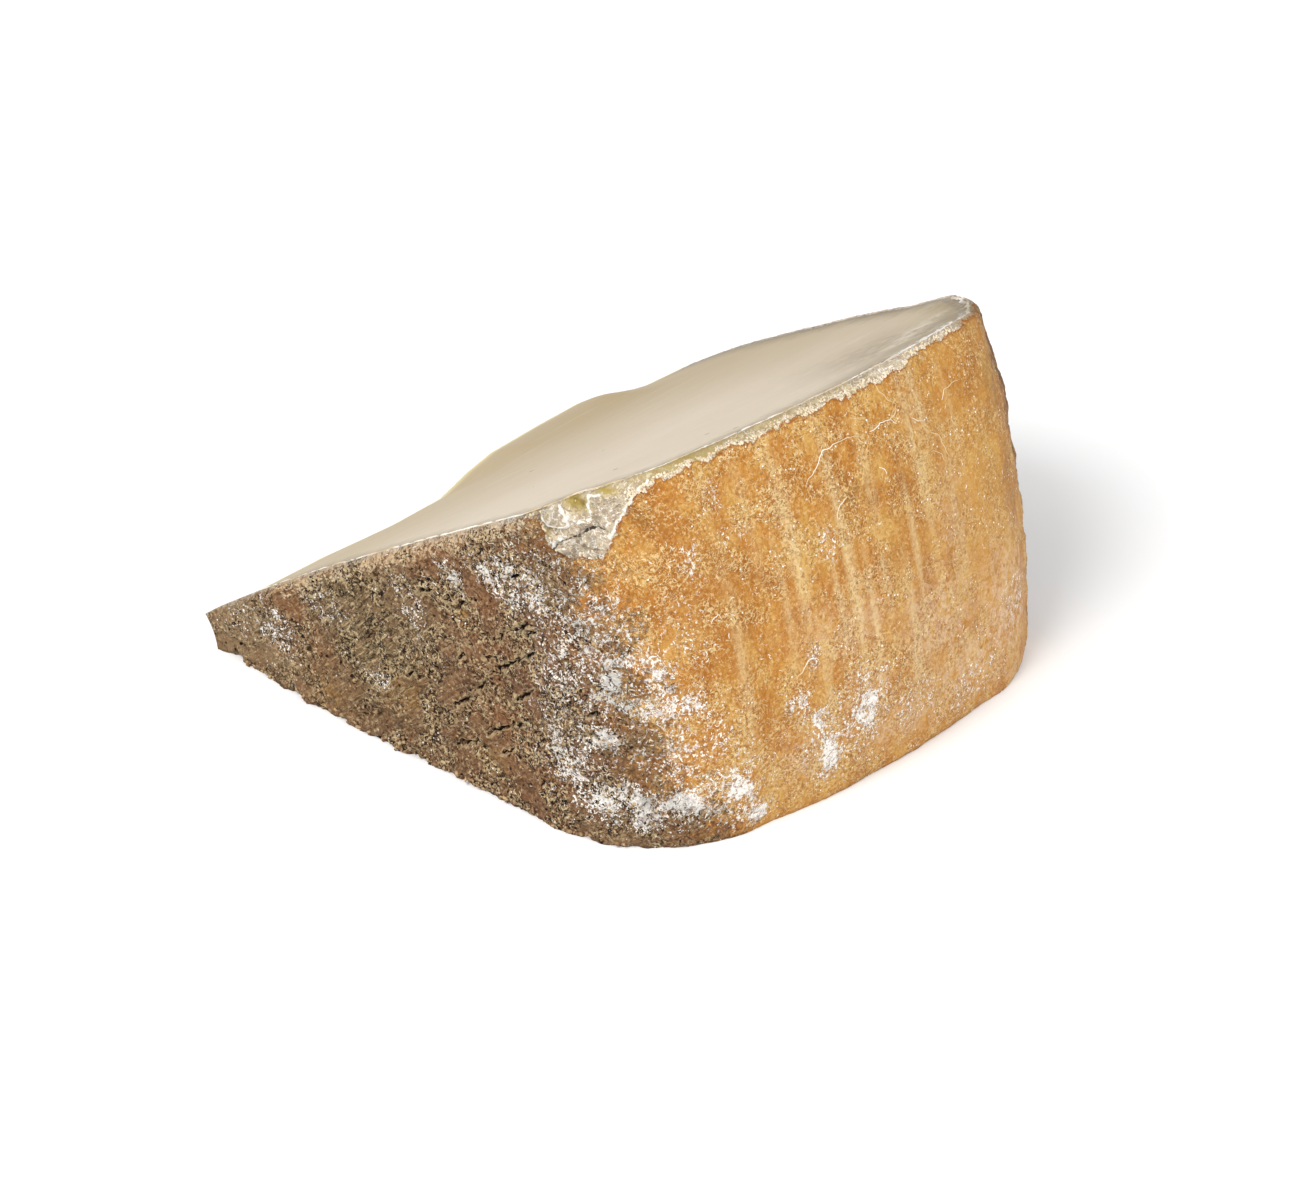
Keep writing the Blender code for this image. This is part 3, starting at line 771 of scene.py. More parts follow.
# where mould and other marks sit on the rind: s, t, reach along s, reach along t, strength
marks = {
    "whiteMould": (
        (111, 33, 12, 10, 0.6), (120, 32, 4, 4, 0.7), (110, 39, 6, 4, 0.7), (104, 30, 5, 8, 0.6),
        (98, 38, 8, 22, 0.5), (112, 10, 12, 5, 0.9), (101, 11, 5, 5, 0.7), (126, 12, 9, 6, 0.6),
        (130, 5, 5, 3, 0.6), (119, 21, 12, 8, 0.5), (119, 11, 6, 2.4, 1.5), (110, 12, 6, 2.8, 1.2),
        (131, 9, 2.0, 5.0, 1.4), (134, 4, 3.5, 1.7, 1.4), (122, 31, 1.6, 1.8, 1.3), (104, 24, 4, 2.5, 1.2),
        (160, 17, 3.4, 5, 1.3), (151, 11, 3.0, 4.2, 1.5), (148, 19, 1.8, 3.0, 1.2), (145, 25, 1.6, 3, 1.0),
        (148, 33, 1.4, 2.4, 0.9), (142, 24, 1.2, 2, 0.8), (153, 15, 14, 10, 0.4), (160, 18, 7, 8, 0.6),
        (138, 61, 2.2, 1.8, 0.6), (134, 61, 1.8, 1.8, 0.4), (126, 59, 3, 6, 0.3), (133, 69, 3, 4, 0.28),
        (129, 11, 3.0, 4.0, 1.2), (106, 31, 5, 5, 0.8), (115, 38, 5, 5, 0.7), (104, 10, 4, 3, 1.1),
        (120, 9, 10, 2.2, 1.0), (110, 6, 6, 2, 0.9), (113, 30, 7, 3, 0.85), (107, 36, 3, 6, 1.0),
        (97, 14, 5, 4, 0.7), (173, 12, 8, 5, 0.4), (156, 53, 2, 4, 0.5), (208, 17, 6, 6, 0.4),
        (94, 18, 3, 3, 0.9), (97, 20, 9, 11, 0.55), (190, 8, 14, 5, 0.3), (74, 45, 3, 3, 0.95),
        (84, 50, 4, 3, 0.85), (88, 47, 4, 3, 0.85), (95, 49, 4, 4, 0.85), (92, 52, 9, 4, 0.7),
        (21, 16, 2.0, 1.2, 1.2), (20, 12, 6, 7, 0.5), (12, 10, 8, 5, 0.3), (102, 44, 5, 9, 0.6),
        (36, 24, 6, 5, 0.35), (48, 14, 2.4, 2.0, 0.8), (60, 34, 4, 7, 0.45), (121, 44, 7, 10, 0.25),
        (105, 52, 6, 6, 0.5), (100, 58, 5, 3, 0.6), (104, 45, 10, 14, 0.6), (290, 40, 20, 14, 0.5),
        (262, 20, 14, 10, 0.6), (240, 50, 10, 12, 0.5), (310, 18, 8, 7, 0.5),
    ),
    "palePink": (
        (158, 35, 12, 7, 0.5), (182, 26, 12, 10, 0.8), (170, 10, 10, 5, 0.7), (205, 16, 12, 16, 0.9),
        (160, 18, 9, 9, 0.5), (190, 12, 14, 9, 0.8), (146, 12, 8, 6, 0.5), (190, 43, 6, 12, 0.4),
    ),
    "honeyTint": ((200, 40, 14, 24, 0.6), (186, 12, 22, 8, 0.5), (150, 8, 20, 5, 0.5)),
    "amberTint": ((126, 50, 8, 16, 0.55), (122, 66, 5, 5, 0.8), (222, 66, 7, 12, 0.5)),
    "calm": ((205, 30, 26, 60, 1.0),),
    "oldRim": ((224, 76, 15, 14, 1.0), (238, 76, 14, 14, 0.6)),
    "darkMark": (
        (223, 61, 7, 8, 0.7), (221, 48, 6, 10, 0.6), (214, 60, 6, 5, 0.45), (142, 23, 2, 2, 0.6),
        (106, 18, 5, 3, 0.6), (104, 15, 7, 4, 0.5), (165, 59, 4, 3, 0.35), (214, 40, 6, 10, 0.35),
        (101, 54, 3, 3, 0.5), (104, 57.5, 5, 2, 0.7), (95, 27, 7, 8, 0.4),
    ),
    "rustTint": (
        (26, 20, 5, 8, 0.8), (31, 13, 5, 5, 0.7), (68, 50, 14, 6, 0.6), (112, 17, 8, 5, 0.6),
        (100, 63, 2.5, 5, 0.6), (82, 42, 6, 6, 0.5), (80, 30, 12, 8, 0.4), (78, 18, 9, 6, 0.7),
        (92, 12, 6, 5, 0.7), (88, 34, 5, 5, 0.5),
    ),
    "oliveTint": ((46, 24, 16, 18, 0.8), (60, 34, 6, 14, 0.6), (36, 10, 8, 8, 0.5), (108, 4, 12, 4, 0.4)),
    "noseTint": ((8, 10, 12, 14, 0.9), (16, 6, 14, 6, 0.7)),
    "fibre": ((46, 24, 22, 18, 1.0), (40, 30, 12, 12, 1.0), (62, 12, 14, 8, 0.6), (18, 12, 12, 10, 0.5)),
    "ochreMark": (
        (54, 13, 6, 4, 0.6), (34, 5, 5, 3, 0.7), (74, 37, 2.0, 1.7, 1.4), (99, 65, 2, 3, 0.8),
        (76, 8, 6, 3, 0.5),
    ),
    "oliveFlesh": (
        (108, 71.0, 3.0, 2.3, 1.0), (115, 73.8, 3.0, 1.3, 1.0), (136, 78, 12, 6, 1.0),
        (122, 77, 5, 2.5, 0.9), (152, 78, 8, 5, 0.8), (167, 77, 9, 5, 0.5), (101.0, 65, 1.3, 3.0, 1.0),
    ),
    "yellowOlive": (
        (108.2, 70.6, 2.7, 1.7, 1.0), (115.3, 73.8, 2.0, 0.8, 0.9), (101.0, 65, 1.1, 2.4, 0.7),
        (129, 78, 6, 2.4, 0.8),
    ),
    "creamFlesh": ((190, 72, 12, 9, 0.9), (109.6, 62.9, 3.2, 1.5, 1.0), (103.7, 67.3, 2.0, 2.2, 0.5)),
    "paleStreak": (
        (160, 48, 1.2, 26, 1.0), (148, 56, 1.6, 18, 0.9), (183.5, 60, 1.6, 14, 0.9),
        (174, 26, 1.5, 14, 0.9), (132, 32, 1.3, 22, 0.6), (156, 40, 0.8, 12, 0.7), (192, 44, 1.4, 16, 0.4),
        (140, 62, 1.2, 12, 0.4), (187, 68, 1.5, 8, 0.9), (169, 60, 1.2, 9, 0.7), (151, 26, 1.0, 12, 0.6),
        (164, 30, 1.0, 16, 0.9), (178, 44, 0.9, 14, 0.8), (168, 44, 0.8, 10, 0.7), (144, 44, 0.9, 14, 0.5),
        (196, 60, 0.9, 12, 0.5),
    ),
}


def blobField(s, t, blobs):
    field = np.zeros(len(s))
    for *shape, strength in blobs:
        field = np.maximum(field, strength * hump(s, t, *shape))
    return field


paste = {
    "inset": 0.5,  # its side is this far inside the rind's edge
    "wallInset": 2.4,
    "wallTop": 0.9,
    "column": 0.9,
    "noseColumn": 0.45,
    "noseRow": 0.5,
    "wallStep": 6.0,
    "seamRows": 14,
    "cutStep": 1.25,
    "underStep": 4.0,
    "wave": (0.10, 16.0),
    "wireMark": (0.035, 1.6),
    "noseCrumb": (0.35, 2.2),
    "hiddenRim": 1.0,  # this much of its edge lies under the rind's
    "hiddenExtra": 0.35,
    "noseSpots": 160,
    "topShare": 0.8,  # points above this share of the cut's angle are on the upper cut
}


def rindOut(s, t):
    return mainRelief(s, t) + fineRelief(s, t, brokenSide(s, t), awayFromCracks(s, t))


def pasteOut(s, t):
    end = outline["rindLength"]
    isNose = s >= end
    depth = rindHeight(s) - t
    inset = rimExtra(s) + np.where(np.minimum(depth, t) < 0.1, paste["inset"], paste["wallInset"])
    out = np.where(isNose, 0.0, rindOut(s, t) - inset * endTaper(s))
    crumb, size = paste["noseCrumb"]
    fade = smoothStep(0, 4, s - end) * (1 - smoothStep(outline["length"] - 4, outline["length"], s))
    return out + isNose * fade * crumb * bumps(s, t, size, 50, 3)


# low waves and wire marks of the upper cut
def cutWave(r, y):
    rise, size = paste["wave"]
    mark, pitch = paste["wireMark"]
    return rise * bumps(r, y, size, 51, 2) + mark * bumps(r, y * 0.05, pitch, 52, 2)


def pasteBand(rng):
    end, length = outline["rindLength"], outline["length"]
    topS = np.concatenate([
        np.linspace(0, end, round(end / paste["column"]) + 1),
        np.linspace(end, length, round((length - end) / paste["noseColumn"]) + 1)[1:],
    ])
    topT = rindHeight(topS)
    seam = np.linspace(0, topT[0], paste["seamRows"])[1:-1]
    ring = sideRing(topS, seam, seam)
    wall = scattered(0, end - 2, 0, topT.max(), paste["wallStep"], rng)
    edgeS = topS[(topS > 1) & (topS < end - 1)]
    edges = [np.stack([edgeS, edgeT], 1) for edgeT in (
        np.full(len(edgeS), paste["wallTop"]), rindHeight(edgeS) - paste["wallTop"]
    )]
    front = scattered(end, length, 0, topT.max(), paste["noseRow"], rng)
    steps = (wall, "wallStep"), (front, "noseRow")
    grids = [clearOfEdges(grid, 0.5 * paste[step], length) for grid, step in steps]
    flat, faces = filled(ring, np.concatenate(edges + grids))
    return flat, faces, topS, len(seam)


def cutFill(ring, step, rng):
    low, high = ring.min(axis=0), ring.max(axis=0)
    grid = scattered(low[0], high[0], low[1], high[1], step, rng)
    grid = grid[insideRing(grid, ring)]
    return filled(ring, grid[awayFromSpots(grid, ring[::2]) > 0.6 * step])


def insideRing(points, ring):
    crossings = np.zeros(len(points), int)
    for (r0, y0), (r1, y1) in zip(ring, np.roll(ring, -1, axis=0)):
        spans = (points[:, 1] < y0) != (points[:, 1] < y1)
        if y0 != y1:
            crossings += spans & (points[:, 0] < r0 + (points[:, 1] - y0) * (r1 - r0) / (y1 - y0))
    return crossings % 2 == 1


def makePaste():
    rng = np.random.default_rng(seed + 1)
    flat, bandFaces, topS, seamCount = pasteBand(rng)
    s, t = flat.T
    count = len(topS)
    out = pasteOut(s, t)
    band = onWall(s, t, out)
    ringAt = {0.0: np.arange(count), 1.0: np.arange(2 * count + seamCount - 1, count + seamCount - 1, -1)}
    points, faces = [band], []
    # the band closes on itself: its last column is its first one
    alias = np.arange(len(band))
    alias[count - 1] = 0
    alias[count:count + seamCount] = np.arange(2 * count + seamCount, 2 * count + 2 * seamCount)[::-1]
    alias[count + seamCount] = 2 * count + seamCount - 1
    faces += [tuple(int(alias[i]) for i in face) for face in bandFaces]
    start = len(band)
    for sweep, step in ((1.0, paste["cutStep"]), (0.0, paste["underStep"])):
        rows = ringAt[sweep][:-1]
        r, y = (alongOutline(topS[:-1]) + alongOutline(topS[:-1], "outward") * out[rows][:, None]).T
        cut, cutFaces = cutFill(np.stack([r, y], 1), step, rng)
        spots = placed(cut[:, 0], cut[:, 1], np.full(len(cut), sweep))
        if sweep:
            inner = np.arange(len(cut)) >= count - 1
            spots[:, 2] += inner * cutWave(*cut.T)
        index = np.arange(len(cut)) + start - (count - 1)
        index[:count - 1] = rows
        points.append(spots[count - 1:])
        start += len(cut) - (count - 1)
        turn = -1 if sweep == 0.0 else 1
        faces += [tuple(int(index[i]) for i in face)[::turn] for face in cutFaces]
    points, faces = packed(np.concatenate(points), faces)
    piece = meshPiece("paste", points, faces)
    onRim = topS <= outline["rindLength"]
    rimReach = paste["hiddenRim"] + paste["hiddenExtra"] * rimExtra(topS[onRim])
    setField(piece, "edgeAway", awayFromSpots(points, band[ringAt[1.0][onRim]], rimReach))
    noseS = np.linspace(outline["rindLength"], outline["length"], paste["noseSpots"])
    noseEdge = placed(*alongOutline(noseS).T, np.ones(len(noseS)))
    setField(piece, "noseAway", awayFromSpots(points, noseEdge))
    fromAxis = points[:, 0] + cuts["middle"][0] + nose["radius"]
    sine = points[:, 2] / np.hypot(fromAxis, points[:, 2])
    radial = np.hypot(fromAxis, points[:, 2]) / (1 + wheel["heelFlare"] * sine / wheel["radius"])
    axial = points[:, 1] - wheel["axisTilt"] * points[:, 2] + cuts["middle"][1]
    onTop = sine > paste["topShare"] * np.sin(cutAngle(radial, axial))
    for name, blobs in cutMarks.items():
        setField(piece, name, onTop * blobField(radial, axial, blobs))
    return piece


# marks on the upper cut: r, y, reach along r, reach along y, strength
cutMarks = {
    "greyCorner": ((124, 42, 14, 18, 1.0), (118, 32, 16, 16, 0.8), (128, 20, 9, 14, 0.6)),
    "smear": (
        (118.5, 30, 2.0, 4, 0.9), (116, 35, 2.2, 4, 1.1), (113.5, 41, 2.2, 4, 1.1), (111, 47, 2.0, 4, 0.8),
        (119, 52, 3.0, 4, 0.9), (116, 55, 2.6, 3, 0.9), (125, 44, 2.4, 7, 0.9), (122, 36, 1.6, 5, 0.7),
        (108, 58, 5, 2.4, 0.6), (127, 26, 1.4, 9, 0.8), (114, 6, 0.5, 2.0, 0.9), (102, 21, 0.6, 3, 0.6),
        (94, 42, 0.8, 4, 0.5),
    ),
    "oliveEdge": ((112, 60, 12, 5, 0.9), (124, 55, 8, 6, 0.7)),
    "flaw": (
        (113, -17, 0.45, 0.8, 1.0), (122, -17, 0.4, 0.7, 1.0), (55, -14, 0.5, 1.4, 0.9),
        (103, -32, 0.4, 0.9, 1.0), (96, -37, 0.4, 0.6, 0.9), (110, 2, 0.4, 0.6, 0.9),
        (70, 20, 0.4, 0.6, 0.7), (84, -26, 0.3, 0.5, 0.7),
    ),
}


def packed(points, faces):
    used = np.unique(np.fromiter((i for face in faces for i in face), int))
    newIndex = np.full(len(points), -1)
    newIndex[used] = np.arange(len(used))
    return points[used], [tuple(int(newIndex[i]) for i in face) for face in faces]


# pale threads of mould, lying on the rind: s, t
threads = {
    "radius": 0.1,
    "step": 0.35,
    "wander": (0.55, 2.2),
    "lines": (
        ((154.5, 64.0), (155.7, 65.7), (157.2, 66.7), (160.3, 69.3), (163.5, 69.6), (166.9, 69.2),
         (169.7, 68.4), (169.8, 67.8)),
        ((177.2, 76.0), (177.6, 73.9), (178.6, 72.6), (180.3, 70.8), (180.8, 70.1)),
        ((172.2, 68.3), (175.5, 68.5), (178.7, 67.7), (180.1, 66.6)),
        ((178.5, 68.0), (180.1, 68.9), (180.8, 70.1)),
        ((184.0, 66.0), (187.4, 63.8)),
        ((194.2, 65.2), (196.6, 66.4), (199.8, 66.6), (200.9, 66.2)),
        ((188.9, 61.1), (191.3, 58.9), (192.4, 54.7)),
        ((187.7, 57.6), (190.7, 56.1), (191.4, 54.4)),
        ((163, 59), (160.5, 58.2), (159, 56)),
        ((172.5, 61), (174, 59.2)),
        ((126.5, 46), (128.4, 47.6), (129.6, 46.6)),
        ((144, 30), (146.6, 32.4), (148.8, 31.6)),
    ),
    # short curls scattered over the heel and the near corner: how many, length, radius, s and t they are in
    "curls": ((180, 1.2, 0.06, 112, 215, 4, 74), (430, 1.3, 0.08, 58, 136, 3, 62)),
    # broken lines on the cut along the rind: s from and to, how far in
    "rimLines": (
        (14, 100, 0.9), (48, 101, 1.4), (99, 132, 0.8), (101, 124, 1.5), (105, 116, 2.3), (128, 196, 0.9),
        (130, 172, 1.5),
    ),
    "rimRadius": 0.15,
    "rimRun": (1.2, 5.0),  # shortest and longest run
    "rimGap": (0.3, 1.6),
    "rimSway": (0.4, 1.9),
    "rimPart": 1.35,
    "sides": 6,
    "tip": 0.35,  # how thick a thread's ends are, as a share of its middle
    "sunk": 0.3,
    # curls: spots tried for each, size of the crowds, pull of the mould, raggedness, steps in each
    "crowding": (4, 9.0, 1.5, 0.35, 6),
    "curling": (0.25, 0.45),
}


def tube(spots, normals, radii):
    points, faces = [], []
    ahead = np.gradient(spots, axis=0)
    ahead /= np.linalg.norm(ahead, axis=1)[:, None]
    across = np.cross(ahead, normals)
    sides = threads["sides"]
    for turn in np.radians(np.arange(sides) * 360 / sides):
        points.append(spots + radii[:, None] * (math.cos(turn) * across + math.sin(turn) * normals))
    count = len(spots)
    for ring in range(sides):
        nextRing = (ring + 1) % sides
        for i in range(count - 1):
            here, there = ring * count + i, nextRing * count + i
            faces.append((here, there, there + 1, here + 1))
    for i in (0, count - 1):
        ends = tuple(ring * count + i for ring in range(sides))
        faces.append(ends if i else ends[::-1])
    return np.concatenate(points), faces


def wallNormals(s, t, out):
    right = onWall(s + 0.2, t, out) - onWall(s - 0.2, t, out)
    up = onWall(s, t + 0.2, out) - onWall(s, t - 0.2, out)
    normals = np.cross(right, up)
    return normals / np.linalg.norm(normals, axis=1)[:, None]


def curlPaths(rng):
    tries, size, pull, ragged, stepCount = threads["crowding"]
    for count, length, radius, lowS, highS, lowT, highT in threads["curls"]:
        spots = [rng.uniform(low, high, tries * count) for low, high in ((lowS, highS), (lowT, highT))]
        crowd = bumps(*spots, size, 60, 2) + pull * blobField(*spots, marks["whiteMould"])
        chosen = np.argsort(-crowd + rng.uniform(-ragged, ragged, len(crowd)))[:count]
        for spot in np.stack(spots, 1)[chosen]:
            turn = rng.uniform(0, 2 * math.pi) + np.cumsum(rng.normal(*threads["curling"], stepCount))
            steps = np.stack([np.cos(turn), np.sin(turn)], 1) * rng.uniform(0.5, 1.2) * length / stepCount
            yield spot + np.cumsum(steps, axis=0), radius * rng.uniform(0.7, 1.4)


def onCut(s, inset):
    top = rindHeight(s)
    out = mainRelief(s, top) - threads["rimPart"] * rimExtra(s) - paste["hiddenRim"] - inset
    spots = onWall(s, top, out)
    spots[:, 2] += cutWave(*(alongOutline(s) + alongOutline(s, "outward") * out[:, None]).T)
    return spots


def rimRuns(rng):
    sway, size = threads["rimSway"]
    for number, (here, end, inset) in enumerate(threads["rimLines"]):
        while here < end:
            s = np.arange(here, here + rng.uniform(*threads["rimRun"]), threads["step"])
            depth = inset + sway * bumps(s, np.full(len(s), 9.0 * number), size, 64, 2)
            spots = onCut(s, depth)
            normals = np.cross(onCut(s + 0.2, depth) - onCut(s - 0.2, depth), onCut(s, depth + 0.2) - spots)
            normals *= np.sign(normals[:, 2:]) / np.linalg.norm(normals, axis=1)[:, None]
            yield spots, normals, threads["rimRadius"] * rng.uniform(0.7, 1.3)
            here = s[-1] + rng.uniform(*threads["rimGap"])


def makeThreads():
    rng = np.random.default_rng(seed + 2)
    step, radius = threads["step"], threads["radius"]
    paths = [(evenly(np.array(line, float), step), radius) for line in threads["lines"]]
    reach, size = threads["wander"]
    for index, (path, radius) in enumerate(paths):
        wander = [reach * bumps(path[:, 0], path[:, 1], size, 61 + axis, 2) for axis in (0, 1)]
        paths[index] = (path + np.stack(wander, 1), radius)
    paths += list(curlPaths(rng))
    every = np.concatenate([path for path, _ in paths])
    every[:, 1] = np.clip(every[:, 1], 0.5, rindHeight(every[:, 0]) - 0.5)
    out = rindOut(*every.T)
    spots, normals = onWall(*every.T, out), wallNormals(*every.T, out)
    laid, start = [], 0
    for path, radius in paths:
        here = slice(start, start + len(path))
        start += len(path)
        laid.append((spots[here], normals[here], radius))
    points, faces, corner, tip = [], [], 0, threads["tip"]
    for spots, normals, radius in laid + list(rimRuns(rng)):
        share = np.linspace(0, 1, len(spots))
        radii = radius * (tip + (1 - tip) * np.sqrt(np.sin(np.pi * np.clip(share, 0.02, 0.98))))
        ringPoints, ringFaces = tube(spots + normals * radius * threads["sunk"], normals, radii)
        points.append(ringPoints)
        faces += [tuple(i + corner for i in face) for face in ringFaces]
        corner += len(ringPoints)
    return meshPiece("threads", np.concatenate(points), faces)


# crumbs along the crust's broken edge, in the chip and over the near flat face
crumbs = {
    # how many, size, tries for each, s from and to, t from and to, tone: 0 is cream, 1 is brown.
    # rim and lip give depths below the upper cut for t
    "rim": (520, 0.30, 12, (98, 206), (0.1, 4.5), 0.0),
    "chip": (40, 0.28, 8, (101, 120), (60, 75), 0.0),
    "face": (620, 0.36, 6, (6, 112), (1, 66), 1.0),
    "foot": (150, 0.5, 1, (10, 108), (0.3, 1.6), 1.0),
    "lip": (300, 0.32, 1, (24, 100), (0.4, 2.6), 0.5),
    "crowds": (10.0, 0.4),  # size of the crowds on the face, and how ragged they are
    "outside": 9.0,  # taken off the crowd where the face ends
    "sizes": (0.6, 1.5),
    "heights": (0.7, 1.2),
    "edges": (0.6, 1.25),
    "flat": 0.5,
    "narrow": 0.7,
    "clear": 0.12,  # how far its edge is off the rind, as a share of its size
    "sunk": 0.5,
    "tilt": 0.35,
    "lowest": 0.02,
}


def crumbSpots(kind, rng):
    count, size, tries, spanS, spanT, tone = crumbs[kind]
    s, t = rng.uniform(*spanS, tries * count), rng.uniform(*spanT, tries * count)
    if kind in ("rim", "lip"):
        t = rindHeight(s) - t
    keep = np.arange(len(s))
    if kind == "rim":
        side = brokenSide(s, t)
        keep = np.flatnonzero((side > 0.05) & (side < 1.0))
    elif kind == "chip":
        keep = np.flatnonzero((insideChip(s, t) > 0.1) & (rindHeight(s) - t > 0.4))
    elif kind == "face":
        inside = (t < rindHeight(s) - 0.6) & (insideChip(s, t) < -0.5)
        clump, ragged = crumbs["crowds"]
        crowd = bumps(s, t, clump, 63, 2) + rng.uniform(-ragged, ragged, len(s))
        keep = np.argsort(-(crowd - crumbs["outside"] * ~inside))
    return s[keep[:count]], t[keep[:count]], size, tone


def makeCrumbs():
    rng = np.random.default_rng(seed + 3)
    turns = np.radians(np.arange(0, 360, 60))
    points, faces, tones, start = [], [], [], 0
    for s, t, size, tone in [crumbSpots(kind, rng) for kind in ("rim", "chip", "face", "foot", "lip")]:
        out = rindOut(s, t)
        spots, normals = onWall(s, t, out), wallNormals(s, t, out)
        for spot, normal in zip(spots, normals):
            side = np.cross(normal, rng.normal(size=3))
            side /= np.linalg.norm(side)
            other = np.cross(normal, side)
            reach = size * rng.uniform(*crumbs["sizes"])
            tilt = rng.normal(0, crumbs["tilt"], 2)
            shape = [spot + normal * reach * crumbs["flat"] * rng.uniform(*crumbs["heights"])]
            for turn in turns:
                away = reach * rng.uniform(*crumbs["edges"])
                a, b = away * math.cos(turn), away * crumbs["narrow"] * math.sin(turn)
                lift = crumbs["clear"] * reach + a * tilt[0] + b * tilt[1]
                shape.append(spot + a * side + b * other + normal * lift)
            shape.append(spot - normal * reach * crumbs["sunk"])
            faces += [(start, start + 1 + i, start + 1 + (i + 1) % 6) for i in range(6)]
            faces += [(start + 7, start + 1 + (i + 1) % 6, start + 1 + i) for i in range(6)]
            points += shape
            tones += [tone] * 8
            start += 8
    points = np.array(points)
    points[:, 2] = np.maximum(points[:, 2], crumbs["lowest"])
    piece = meshPiece("crumbs", points, faces)
    setField(piece, "tone", np.array(tones))
    return piece


def paint(code):
    channels = [int(code[i:i + 2], 16) / 255 for i in (0, 2, 4)]
    return (*[c / 12.92 if c <= 0.04045 else ((c + 0.055) / 1.055) ** 2.4 for c in channels], 1)


def mixPaints(codes):
    return SimpleNamespace(**{name: paint(code) for name, code in codes.items()})


# the output of a node, which can be added to, taken from and multiplied
class Mask:
    def __init__(self, socket):
        self.socket = socket
        self.tree = socket.id_data

    def __add__(self, other):
        return maths("ADD", self, other)

    def __sub__(self, other):
        return maths("SUBTRACT", self, other)

    def __rsub__(self, other):
        return maths("SUBTRACT", other, self)

    def __mul__(self, other):
        return maths("MULTIPLY", self, other)

    def __truediv__(self, other):
        return maths("DIVIDE", self, other)

    def __rtruediv__(self, other):
        return maths("DIVIDE", other, self)

    def also(self, output):
        return Mask(self.socket.node.outputs[output])

    __radd__ = __add__
    __rmul__ = __mul__


def feed(socket, value):
    if isinstance(value, Mask):
        value.tree.links.new(value.socket, socket)
    else:
        socket.default_value = value


def addNode(tree, kind, inputs, output=0, **settings):
    node = tree.nodes.new("ShaderNode" + kind)
    for name, value in settings.items():
        setattr(node, name, value)
    for name, value in inputs.items():
        feed(node.inputs[name], value)
    return Mask(node.outputs[output])


def maths(operation, a, b=0.0):
    tree = (a if isinstance(a, Mask) else b).tree
    return addNode(tree, "Math", {0: a, 1: b}, operation=operation)


def shifted(place, shift):
    return addNode(place.tree, "VectorMath", {0: place, 1: shift}, operation="ADD")


def ramp(value, low, high, start=0.0, end=1.0):
    inputs = {"Value": value, "From Min": low, "From Max": high, "To Min": start, "To Max": end}
    return addNode(value.tree, "MapRange", inputs, interpolation_type="SMOOTHSTEP")


def mixed(share, a, b):
    node = share.tree.nodes.new("ShaderNodeMix")
    node.data_type = "RGBA"
    node.clamp_factor = True
    sockets = {socket.identifier: socket for socket in (*node.inputs, *node.outputs)}
    for name, value in (("Factor_Float", share), ("A_Color", a), ("B_Color", b)):
        feed(sockets[name], value)
    return Mask(sockets["Result_Color"])


# coats laid one over the other, each with the mask that it is laid by
def coated(colour, *coats):
    for mask, coat in coats:
        colour = mixed(mask, colour, coat)
    return colour


def newGroup(name, output, **inputs):
    group = bpy.data.node_groups.new(name, "ShaderNodeTree")
    kinds = {1: "NodeSocketFloat", 3: "NodeSocketVector", 4: "NodeSocketColor"}
    for label, start in inputs.items():
        kind = kinds[np.size(start)]
        group.interface.new_socket(label, in_out="INPUT", socket_type=kind).default_value = start
    kind = kinds[4 if output == "Colour" else 1]
    group.interface.new_socket(output, in_out="OUTPUT", socket_type=kind)
    entry = group.nodes.new("NodeGroupInput").outputs
    leave = group.nodes.new("NodeGroupOutput").inputs[output]
    return group, [Mask(entry[label]) for label in inputs], leave


def sizedNoise(place, size, stretch, detail, roughness=0.55):
    squeezed = addNode(place.tree, "VectorMath", {0: place, 1: stretch}, operation="MULTIPLY")
    inputs = {"Vector": squeezed, "Scale": 1.0 / size, "Detail": detail, "Roughness": roughness}
    return addNode(place.tree, "TexNoise", inputs, "Fac")


# speckles: where a noise of the given size lies between two levels
def makeSpecks():
    group, (place, size, stretch, low, high, detail, roughness), leave = newGroup(
        "specks", "Mask", Place=(0, 0, 0), Size=1.0, Stretch=(1, 1, 1), Low=0.5, High=0.6,
        Detail=2.0, Roughness=0.55,
    )
    feed(leave, ramp(sizedNoise(place, size, stretch, detail, roughness), low, high))
    return group


# round dots, a share of the cells of a mesh of points
def makeDots():
    group, (place, spacing, radius, share), leave = newGroup(
        "dots", "Mask", Place=(0, 0, 0), Spacing=1.0, Radius=0.2, Share=0.5
    )
    distance = addNode(group, "TexVoronoi", {"Vector": place, "Scale": 1.0 / spacing}, "Distance")
    draw = addNode(group, "SeparateColor", {0: distance.also("Color")})
    reach = radius * (draw.also(1) + 0.5) / spacing
    feed(leave, ramp(distance / reach, 1.15, 0.7) * maths("LESS_THAN", draw, share))
    return group


# short curled filaments, broken up by gaps
def makeFilaments():
    group, (place, size, stretch, width, gaps), leave = newGroup(
        "filaments", "Mask", Place=(0, 0, 0), Size=1.3, Stretch=(1, 1, 1), Width=0.04, Gaps=0.5
    )
    away = maths("ABSOLUTE", sizedNoise(place, size, stretch, 1.0) - 0.5)
    breaks = sizedNoise(shifted(place, (31, 17, 23)), size, (1, 1, 1), 2.0, 0.6)
    feed(leave, ramp(away, width, width * 0.4) * ramp(breaks, gaps, gaps + 0.05))
    return group


